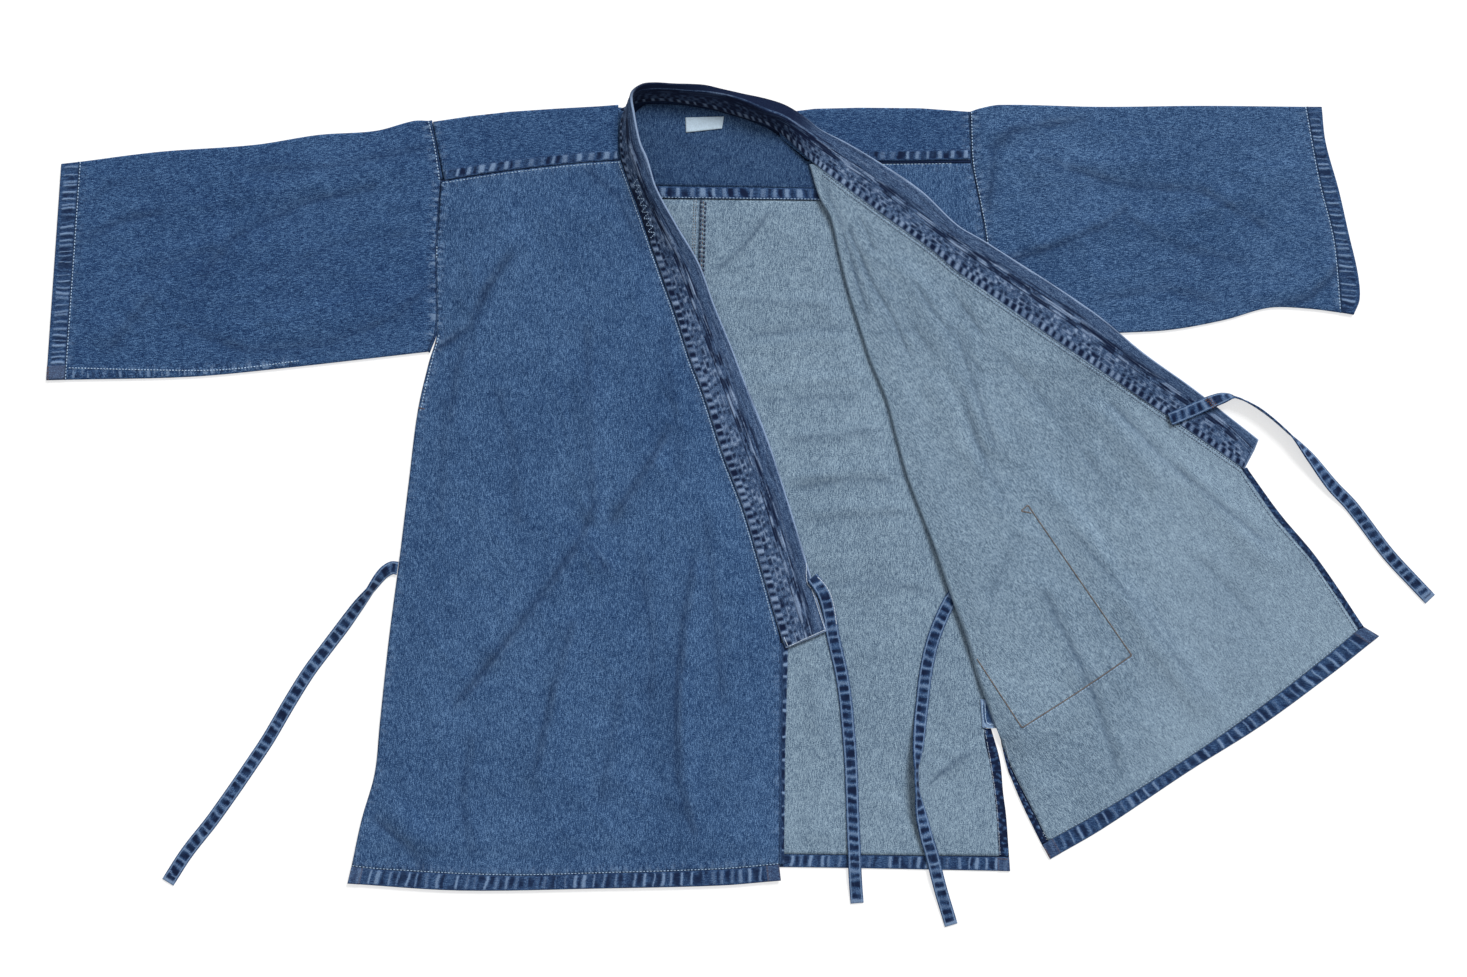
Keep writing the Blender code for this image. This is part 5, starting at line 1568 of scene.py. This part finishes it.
def band_marks(run, width, side):
    """Relief and wear of the stitched rows and the plain outer third, with painted shade and a painted highlight
    where the band stands behind the neck.
    """
    # Where the band stands behind the neck, painted shade darkens its faces and a painted highlight brightens its
    # ridge line.
    neck_shade_and_highlight = smooth(NECK_SHADE[0], NECK_SHADE[1], run) * smooth(NECK_SHADE[3], NECK_SHADE[2], run)
    if width > STITCHED_WIDTH:
        out = (width - STITCHED_WIDTH) / PLAIN_WIDTH
        streaks = noise.noise((run / 38.0, width / 1.2, 3.0 + side))
        pale = 0.3 * smooth(0.05, 0.4, streaks) + 0.85 * smooth(0.90, 0.97, out) * (1.0 - 0.45 * neck_shade_and_highlight)
        pale += 0.75 * smooth(0.13, 0.05, out) * (0.45 + 0.55 * neck_shade_and_highlight)
        dark = 0.45 * smooth(-0.02, -0.35, streaks) + 0.35 * smooth(0.12, 0.2, out) * smooth(0.34, 0.22, out)
        height = 0.25 * noise.noise((run / 11.0, out * 2.0, 8.0)) - 0.5 * smooth(0.9, 1.0, out)
        return height, (min(pale, 1.0), max(dark, 0.85 * neck_shade_and_highlight * smooth(0.08, 0.2, out)), 0.0)
    row = min(bisect.bisect_right(BAND_ROW_EDGES, width) - 1, 5)
    low, high = BAND_ROW_EDGES[row], BAND_ROW_EDGES[row + 1]
    within = (width - low) / (high - low)
    stand = math.sin(math.pi * clamp(within)) ** 0.6
    if row == 0:
        crest, block = ladder(run + 1.2 * within, 8.2, 1.75, 61.0 + side, 0.6)
        block *= smooth(0.02, 0.2, within) * smooth(1.0, 0.86, within)
        crest *= smooth(0.06, 0.2, within)
        plainer = smooth(ZIGZAG[0], ZIGZAG[0] + 6.0, run) * smooth(ZIGZAG[1], ZIGZAG[1] - 6.0, run)
        crest, block = crest * (1.0 - plainer), blend(block, 0.8, plainer)
        height = 0.35 + 0.5 * crest - 0.35 * block
        return height, (0.7 * crest + 0.35 * smooth(0.12, 0.0, within), 0.95 * block + 0.35 * neck_shade_and_highlight, 0.0)
    if row in BAND_LADDERS:
        pitch, bar, shade = BAND_LADDERS[row]
        bent = run + 1.6 * noise.noise((run / 7.0, within + row, side))
        crest, block = ladder(bent, pitch, bar, 60.0 + 6.0 * row + side)
        mixed = 0.6 + 0.9 * noise.noise((run / 3.2, width / 2.0, 9.0))
        seam_line = smooth(0.24, 0.06, min(within, 1.0 - within))
        seam_line *= smooth(-0.15, 0.2, noise.noise((run / 13.0, row + round(within), 12.0)))
        crest, block = crest * stand * mixed, block * stand * (1.2 - 0.6 * mixed) * shade
        pale = max(0.85 * crest, 0.55 * seam_line) * (1.0 - 0.4 * neck_shade_and_highlight)
        return 0.7 * crest + 0.2 * stand, (pale, min(0.9 * block + 0.5 * neck_shade_and_highlight, 1.0), 0.0)
    long_way = 16.0 + 6.0 * (row - 4)
    patch = noise.noise((run / long_way + row * 9.1, row * 5.3 + within * 0.35, side))
    patch += 0.3 * noise.noise((run / 2.4, width, 4.5))
    crest, hollow = smooth(0.08, 0.40, patch), smooth(0.06, -0.24, patch)
    fine = math.sin(width * 2.3 + 1.2 * noise.noise((run / 17.0, row, 5.0)))
    lined = smooth(2.0, 4.0, row + within) * smooth(-0.4, 0.2, noise.noise((run / 21.0, width / 3.0, 18.0)))
    line = smooth(0.2, 0.05, min(within, 1.0 - within))
    line_pale = smooth(-0.1, 0.3, noise.noise((run / 24.0, round(low + within * (high - low)), 12.0)))
    pale = 0.5 * crest * stand + 0.5 * max(fine, 0.0) ** 2 * lined + 0.5 * line * line_pale
    dark = 0.7 * hollow * stand ** 0.5 + 0.6 * max(-fine, 0.0) ** 2 * lined + 0.6 * line * (1.0 - line_pale)
    dark += 0.55 * neck_shade_and_highlight
    height = 0.6 * (0.3 + crest) * stand - 0.2 * hollow + 0.2 * fine * lined
    return height, (min(pale, 1.0) * (1.0 - 0.6 * neck_shade_and_highlight), min(dark, 1.0), 0.0)


def ring(there):
    """Across and side of each point round a flat strip: there on its face, back on its other side."""
    back = [(a, -1.0) for a in reversed(there)]
    return [(a, 1.0) for a in there] + [(there[-1], 0.0)] + back + [(0.0, 0.0), (there[0], 1.0)]


def even(count, start=0):
    """Even shares from 0 to 1, left out below the number start."""
    return [i / count for i in range(start, count + 1)]


BAND_SECTION = ring(even(BAND_ACROSS["stitched"]) + [1.0 + share for share in even(BAND_ACROSS["plain"], 1)])
BAND_COLUMNS = len(BAND_SECTION) - 1
BAND_RUNS = round(BAND_LENGTH / BAND_STEP)


def band_face(u, v):
    across_band, side = BAND_SECTION[round(u * BAND_COLUMNS)]
    run = v * BAND_LENGTH
    here = band_middle(run, across_band)
    wide = band_middle(run, min(across_band + 0.08, 2.0)) - band_middle(run, max(across_band - 0.08, 0.0))
    ahead = band_middle(run + 3.0, across_band) - band_middle(run - 3.0, across_band)
    wide, ahead = (Vector((w.x, -w.y, w.z)) for w in (wide, ahead))
    normal = wide.cross(ahead).normalized()
    outward = 0.0
    if side == 0.0:
        outward = 0.5 * (1.0 if across_band > 1.0 else -1.0)
    width = across_band * STITCHED_WIDTH if across_band <= 1.0 else STITCHED_WIDTH + (across_band - 1.0) * PLAIN_WIDTH
    height, wear = band_marks(run, width, side)
    end = smooth(2.5, 0.5, min(run, BAND_LENGTH - run))
    wear = (max(wear[0], 0.6 * end), wear[1] * (1.0 - end), 0.0)
    relief = height * (1.0 - end) * (1.0 if side > 0.0 else 0.15)
    lift = normal * side * (BAND_THICK / 2.0 + relief) + wide.normalized() * outward
    point = at(here.x, here.y, here.z) + lift * MM
    point.z = max(point.z, 0.0)
    return Spot(point, (width, run, 0), wear=wear)


def swept(name, columns, rows, face, material, node):
    """A closed tube with filled ends, for the band and the ties."""
    mesh = laid(columns, rows, face)
    bmesh.ops.remove_doubles(mesh, verts=mesh.verts, dist=0.005 * MM)
    bmesh.ops.holes_fill(mesh, edges=[e for e in mesh.edges if e.is_boundary], sides=0)
    bmesh.ops.recalc_face_normals(mesh, faces=mesh.faces)
    piece_from(name, mesh, [material], node)


swept("neckband_cloth", BAND_COLUMNS, BAND_RUNS, band_face, BAND, "neckband")
print("neckband length:", round(BAND_LENGTH), "mm")

# %% [markdown]
# ## Ties
#
# Each tie is a narrow sewn strip that lies flat for most of its way and stands on edge where
# it leaves the jacket. It is swept along its middle line with a roll about its length.
# Stitches along both edges pucker it, so dark squares alternate with pale bars.

# %% Ties
TIE_WIDTH = 12.8
TIE_THICK = 1.5
TIE_COLUMNS = 10
TIE_STEP = 1.4


def tie(name, rows, seed, length_seed):
    path = flowing([(r["x"], r["y"], r["z"]) for r in rows], SECTION_STEPS)
    rolls = [r["roll"] for r in rows]
    reach = reaches(path)
    length = reach[-1]

    def middle(run):
        low, part = found(reach, min(max(run, 0.0), length))
        place = (low + part) / SECTION_STEPS
        index = min(int(place), len(rolls) - 2)
        return path[low].lerp(path[low + 1], part), math.radians(blend(rolls[index], rolls[index + 1], place - index))

    section = ring(even(TIE_COLUMNS))

    def face(u, v):
        share, side = section[round(u * (len(section) - 1))]
        run = v * length
        here, roll = middle(run)
        heading = middle(run + 4.0)[0] - middle(run - 4.0)[0]
        heading = Vector((heading.x, -heading.y, 0.0)).normalized()
        wide = Vector((heading.y, -heading.x, 0.0)) * math.cos(roll) + Vector((0, 0, 1)) * math.sin(roll)
        normal = wide.cross(heading)
        bent = run + 1.5 * share + 1.6 * noise.noise((run / 9.0, share * 2.0, seed))
        crest, block = ladder(bent, 9.4, 1.6, seed, 0.6)
        rim = smooth(0.22, 0.12, min(share, 1.0 - share))
        height = 0.35 * crest * (1.0 - rim) if side > 0.0 else 0.0
        pale = 0.55 * crest * (1.0 - rim) + 0.62 * rim * smooth(0.0, 0.05, min(share, 1.0 - share))
        dark = block * (1.0 - rim) * (0.75 + 0.5 * noise.noise((run / 6.0, share * 2.0, seed + 4.0)))
        end = smooth(5.0, 3.0, length - run)
        width = TIE_WIDTH + (0.5 if side == 0.0 else 0.0)
        slack = 0.35 * noise.noise((run / 40.0, 0.0, length_seed)) * smooth(0.0, 30.0, run)
        offset = wide * ((share - 0.5) * width + slack) + normal * side * (TIE_THICK / 2.0 + max(height, 0.0))
        point = at(here.x, here.y, here.z) + offset * MM
        point.z = max(point.z, 0.0)
        return Spot(point, (share * TIE_WIDTH, run, 0),
                    wear=(blend(pale, 0.6, end), dark * (1.0 - end), 0.25 * end))
    print(name, "length:", round(length), "mm")
    swept(name + "_cloth", len(section) - 1, round(length / TIE_STEP), face, HEM, name)


for number, (tie_name, tie_rows) in enumerate(TIES.items()):
    tie(tie_name, tie_rows, 101.0 + 7.0 * number, 130.0 + number)


# %% [markdown]
# ## Label and slit patch
#
# A bare woven label is sewn behind the neck, and a small square strengthens the top of the
# side slit. Both are little panels of their own.

# %% Label and patch
def corner_place(corners_of_piece):
    a, b, c, d = corners_of_piece
    return stretched(Line([a, b]), Line([d, c]), Line([a, d]), Line([b, c]))


label_place, patch_place = corner_place(LABEL_CORNERS), corner_place(PATCH_CORNERS)


def label_face(u, v):
    x, y = label_place(u, v)
    curl = 0.5 * smooth(0.6, 1.0, v) * math.sin(u * 9.0) ** 2
    return Spot(at(x, y, 2.0 * LAYER + 0.75 + curl), (x, y, 0))


def patch_face(u, v):
    x, y = patch_place(u, v)
    rim = smooth(0.28, 0.1, min(u, v, 1.0 - u, 1.0 - v))
    return Spot(at(x, y, LAYER + 1.0), (x, y, 0), wear=(0.75 * rim, 0.2 * (1.0 - rim), 0))


cloth("label_blank", 24, 12, label_face, LABEL, "neck_label", thick=0.6)
cloth("slit_patch_cloth", 10, 20, patch_face, HEM, "slit_patch", thick=0.8)

# %% [markdown]
# ## Stitches
#
# Sewing thread is too fine for the solids, so it is made here. Every stitch is a tiny
# stretched ball, set end to end along a chalked line and pressed onto whatever cloth is
# below it, which a ray from above finds.

# %% Stitch maker
STITCH_LENGTH = 2.6
STITCH_GAP = 0.8
STITCH_WIDTH = 0.95
RAY_HEIGHT = 0.2


def tree_of(*names):
    """A search tree over some pieces, for rays from above."""
    joined = bmesh.new()
    for name in names:
        joined.from_mesh(MADE[name].data)
    tree = BVHTree.FromBMesh(joined)
    joined.free()
    return tree


def stitches(name, lines, below, material, width=STITCH_WIDTH, length=STITCH_LENGTH, gap=STITCH_GAP,
             ends_at=(0.1, 0.9)):
    """Rows of stitches along lines on the board, lying on the pieces below."""
    tree = tree_of(*below)
    mesh = bmesh.new()
    for points in lines:
        line = Line(points, 4)
        count = max(int(line.length / (length + gap)), 1)
        for index in range(count):
            start, end = (line.place((index + part) / count) for part in ends_at)
            ends = [tree.ray_cast(at(*place, RAY_HEIGHT / MM), Vector((0, 0, -1)))[0] for place in (start, end)]
            if None in ends:
                continue
            way = ends[1] - ends[0]
            turn = way.to_track_quat("X", "Z").to_matrix().to_4x4()
            half = Vector((way.length / 2.0, width * MM / 2.0, width * MM * 0.32))
            middle = (ends[0] + ends[1]) / 2.0 + Vector((0, 0, width * MM * 0.15))
            place_it = Matrix.Translation(middle) @ turn @ Matrix.Diagonal((*half, 1.0))
            bmesh.ops.create_icosphere(mesh, subdivisions=1, radius=1.0, matrix=place_it)
    piece_from(name, mesh, [material], None)


# %% Rows of stitches
stitches("stitches_front_pale",
         [beside(RIGHT_YOKE_SEAM, 1.7), beside(RIGHT_HEM_TOP, -0.9)],
         ["right_front_cloth", "right_front_hem"], PALE_THREAD)
stitches("stitches_band_seam_pale", [beside(BAND_SEAM[:11], 2.7)], ["right_front_cloth"], PALE_THREAD,
         width=1.1, gap=0.1, ends_at=(0.0, 1.0))
stitches("stitches_armhole_pale", [beside(RIGHT_ARMHOLE[2:6], -1.1), beside(RIGHT_SIDE[3:6], -2.6)],
         ["right_front_cloth"], PALE_THREAD, width=1.35, gap=0.5)
stitches("stitches_sleeves_pale",
         [beside(RIGHT_SLEEVE["cuff"], -1.2), places("69 368, 150 370, 223 370, 300 361"),
          beside(RIGHT_ARMHOLE[:3], 1.3), beside(LEFT_SLEEVE["cuff"], 1.2), beside(LEFT_ARMHOLE, -1.2)],
         ["right_sleeve_cloth", "left_sleeve_cloth"], PALE_THREAD, width=1.35, gap=0.5)
stitches("stitches_left_yoke_pale", [places("868 165.2, 925 164.6, 969 163.8")], ["left_front_cloth"], PALE_THREAD)
stitches("stitches_lining_pale", [beside(LINING_EDGE, -0.9)], ["lining_hem_strip", "yoke_lining_cloth"],
         PALE_THREAD, width=0.9)
stitches("stitches_back_brown",
         [[(694.0, 200), (691.5, 290)], [(696.2, 200), (693.7, 290)]],
         ["back_left_cloth", "back_right_cloth"], BROWN_THREAD, width=0.8, gap=0.3)
stitches("stitches_back_navy",
         [[(701.5, 200), (699.0, 290)], [(705.6, 201.7), (703.1, 290)]],
         ["back_left_cloth", "back_right_cloth"], NAVY_THREAD, width=2.5, length=3.9, gap=0.4)
stitches("stitches_back_rust", [[(703.5, 200.5), (701.0, 290)]], ["back_left_cloth", "back_right_cloth"],
         RUST_THREAD, width=0.9, length=2.0, gap=2.4)
stitches("stitches_turned_navy",
         [beside(BAND_SEAM_LEFT, 1.6), beside(BAND_SEAM_LEFT, 4.8), beside(FRONT_EDGE_INNER, 3.0)],
         ["left_front_cloth"], NAVY_THREAD, width=0.9, gap=0.2)
stitches("stitches_turned_pale",
         [beside([tuple(p) for p in left_hem_top], -1.2), beside(BAND_SEAM_LEFT, 3.2)],
         ["left_front_cloth", "left_front_hem"], PALE_THREAD, width=0.8)
POCKET_TACK = [[(1027, 505), (1131, 655)], places("1131 655, 1075 693, 1021 727"), [(1021, 727), (976, 658)],
               [(1027, 505), (1020, 511)], [(1020, 511), (1031, 513)]]
stitches("stitches_pocket_brown", POCKET_TACK, ["left_front_cloth"], BROWN_THREAD, width=1.5, gap=0.0,
         ends_at=(-0.1, 1.1))
stitches("stitches_pocket_pale", [beside(POCKET_TACK[1], -1.7)], ["left_front_cloth"], PALE_THREAD)


# %% Zigzags and bar-tacks
def zigzag(start, end, half, step):
    """A line that swings from side to side along a straight stretch."""
    start, end = Vector(start), Vector(end)
    count = max(int((end - start).length / step), 2)
    side = Vector((-(end - start).y, (end - start).x)).normalized() * half
    return [tuple(start.lerp(end, i / count) + side * (1 if i % 2 else -1)) for i in range(count + 1)]


stitches("stitches_band_zigzag", [zigzag((635.5, 182), (653.5, 238), 3.2, 3.3)], ["neckband_cloth"], PALE_THREAD,
         width=1.25, length=2.0, gap=0.0)
stitches("bar_tacks",
         [zigzag((1206, 398), (1214, 407), 3.6, 1.1), zigzag((49, 367), (49, 380), 1.2, 1.2),
          zigzag((431, 342), (437, 344), 1.0, 1.1), zigzag((419, 408), (425, 409), 1.0, 1.1),
          zigzag((999, 858.5), (1008, 859), 0.8, 1.2), zigzag((1044, 847), (1050, 857), 0.8, 1.2)],
         ["neckband_cloth", "tie_band_left_cloth", "right_cuff_cloth", "back_hem", "left_front_hem",
          "right_front_cloth"], RUST_THREAD,
         width=0.8, length=2.2, gap=0.1)
stitches("band_end_edge",
         [places("806.2 562, 806.8 583, 811.5 588.5"), places("811.5 588.5, 817.5 607, 825 629.5"),
          places("825 629.5, 806 638, 788 646.5"), [(788, 646.5), (783.5, 636)]],
         ["neckband_cloth"], WHITE_THREAD, width=0.9, length=3.0, gap=0.0, ends_at=(-0.3, 1.3))
stitches("tie_fold_edge", [places("810 572, 821 580, 829 591, 833.5 605, 836.5 625")],
         ["tie_band_right_cloth"], WHITE_THREAD, width=1.1, length=3.0, gap=0.0, ends_at=(-0.3, 1.3))
stitches("patch_border", [places("982 700.5, 984.6 726.5, 996 727.4"), places("984.6 702, 986.6 723.5, 994 724.4")],
         ["slit_patch_cloth"], PALE_THREAD, width=1.1, gap=0.0, ends_at=(-0.3, 1.3))


# %% Frayed ends of yarn
FRAY_STEP = 1.5


def fray(name, line, below, reach):
    """Short loose ends of white yarn that stand at all angles along a raw edge."""
    line = Line(line)
    hairs = []
    for index in range(int(line.length / FRAY_STEP)):
        place = line.place(index * FRAY_STEP / line.length)
        turn = 6.0 * noise.noise((index * 0.37, 2.5, 7.5))
        length = reach * (0.6 + abs(noise.noise((index * 0.71, 5.5, 1.5))))
        way = Vector((math.cos(turn), math.sin(turn))) * length
        hairs.append([tuple(place - way * 0.5), tuple(place + way * 0.5)])
    stitches(name, hairs, below, WHITE_THREAD, width=0.55, length=6.0, gap=0.1)


fray("fray_back_slit", beside(BACK_SLIT_INNER, -1.0), ["back_left_cloth", "slit_edge_back_cloth"], 2.6)
fray("fray_front_slit", beside(FRONT_SLIT_INNER, -1.0), ["left_front_cloth", "slit_edge_front_cloth"], 2.6)


# %% [markdown]
# ## Sheets
#
# Each cloth is declared with the size that it was cut to before it was sewn and laid down:
# the smallest rectangle that holds its flat outline, and the outline's own area. A sleeve
# counts all round. Each row of the table names a cloth, its cut's width and length in
# millimetres, its area in square metres, how it is held, what it rests on, and the hems,
# edges, seam allowances and stitches that go with it.

SHEETS = """
back_right_cloth 348 669 0.189 laid floor back_hem allowance_back_hem allowance_centre_back stitches_back_rust
back_left_cloth 320 659 0.196 laid floor slit_edge_back_cloth allowance_back_slit stitches_back_brown \
stitches_back_navy fray_back_slit
yoke_cloth 543 154 0.066 folded floor right_yoke_fell left_yoke_fell allowance_yoke_back \
allowance_yoke_front_right allowance_yoke_front_left allowance_neck allowance_neck_corner
yoke_lining_cloth 521 88 0.0355 laid yoke_cloth lining_hem_strip stitches_lining_pale
right_front_cloth 429 714 0.226 laid back_right_cloth right_front_hem right_front_edge allowance_right_hem \
allowance_band_right allowance_armhole_right allowance_armhole_right_front stitches_front_pale \
stitches_armhole_pale stitches_band_seam_pale
left_front_cloth 384 690 0.204 folded back_left_cloth left_front_hem front_edge_cloth slit_edge_front_cloth \
allowance_front_slit allowance_front_edge allowance_left_hem allowance_armhole_left stitches_turned_navy \
stitches_turned_pale stitches_left_yoke_pale fray_front_slit
pocket_cloth 128 180 0.0187 laid left_front_cloth stitches_pocket_brown stitches_pocket_pale
right_sleeve_cloth 463 364 0.163 laid floor right_cuff_cloth allowance_cuff_right allowance_armhole_right_top \
stitches_sleeves_pale
left_sleeve_cloth 446 351 0.15 laid floor left_cuff_cloth allowance_cuff_left allowance_armhole_left_top
neckband_cloth 42 1308 0.0549 laid right_front_cloth allowance_band_left stitches_band_zigzag band_end_edge \
bar_tacks
tie_outer_right_cloth 12.8 394 0.005 laid floor
tie_band_right_cloth 12.8 332 0.0042 laid back_left_cloth tie_fold_edge
tie_inner_left_cloth 12.8 385 0.0049 laid back_left_cloth
tie_band_left_cloth 12.8 354 0.0045 laid neckband_cloth
label_blank 39 14 0.0005 laid yoke_lining_cloth
slit_patch_cloth 16 29 0.0003 laid back_left_cloth patch_border
"""


def surface(piece):
    """Half of a closed wall's surface, which is one layer of the cloth."""
    mesh = bmesh.new()
    mesh.from_mesh(piece.data)
    area = sum(f.calc_area() for f in mesh.faces) / 2.0
    mesh.free()
    return area


declared = set()
for row in SHEETS.strip().splitlines():
    name, width, length, area, held, below, *extra = row.split()
    print(name, "cut", area, "m2, made", round(surface(MADE[name]), 4), "m2")
    declared |= {name, *extra}
print("not declared:", sorted(set(MADE) - declared))

# %% [markdown]
# ## Floor, light and camera
#
# The jacket lies on a pale plain floor under soft light, seen straight from above.

# %% Stage
CAMERA_PLACE = (733.5, 488.5)
CAMERA_HEIGHT = 2.6
CAMERA_LENS = 63.8
FLOOR_HALF = 4.0
FLOOR_BELOW = 0.0002
SUN_STRENGTH = 2.95
SUN_SOFTNESS = 22.0
SKY_STRENGTH = 0.44

floor_mesh = bmesh.new()
bmesh.ops.create_grid(floor_mesh, x_segments=1, y_segments=1, size=FLOOR_HALF,
                      matrix=Matrix.Translation((0, 0, -FLOOR_BELOW)))
floor_data = bpy.data.meshes.new("floor")
floor_mesh.to_mesh(floor_data)
floor_mesh.free()
floor = bpy.data.objects.new("floor", floor_data)
floor_shader = Shader("floor_paint")
floor_shader.set({"Base Color": (0.5, 0.5, 0.5, 1.0), "Emission Color": (1.0, 1.0, 1.0, 1.0),
                  "Emission Strength": 0.6, "Roughness": 0.9})
floor_data.materials.append(floor_shader.material)
bpy.context.scene.collection.objects.link(floor)

world = bpy.data.worlds.new("studio")
world.use_nodes = True
background = world.node_tree.nodes["Background"]
background.inputs["Color"].default_value = (1.0, 1.0, 1.0, 1.0)
background.inputs["Strength"].default_value = SKY_STRENGTH
bpy.context.scene.world = world

sun_data = bpy.data.lights.new("window_light", "SUN")
sun_data.energy = SUN_STRENGTH
sun_data.angle = math.radians(SUN_SOFTNESS)
sun = bpy.data.objects.new("window_light", sun_data)
sun.rotation_euler = Vector((-0.5, -0.92, -0.95)).to_track_quat("-Z", "Y").to_euler()
bpy.context.scene.collection.objects.link(sun)

camera_data = bpy.data.cameras.new("camera")
camera_data.lens = CAMERA_LENS
camera_data.sensor_width = 36.0
camera = bpy.data.objects.new("camera", camera_data)
camera.location = at(*CAMERA_PLACE, CAMERA_HEIGHT / MM)
bpy.context.scene.collection.objects.link(camera)
bpy.context.scene.camera = camera
bpy.context.scene.view_settings.view_transform = "Standard"

# %% Sizes and the end
print("triangles in all:", sum(len(p.vertices) - 2 for piece in MADE.values() for p in piece.data.polygons))
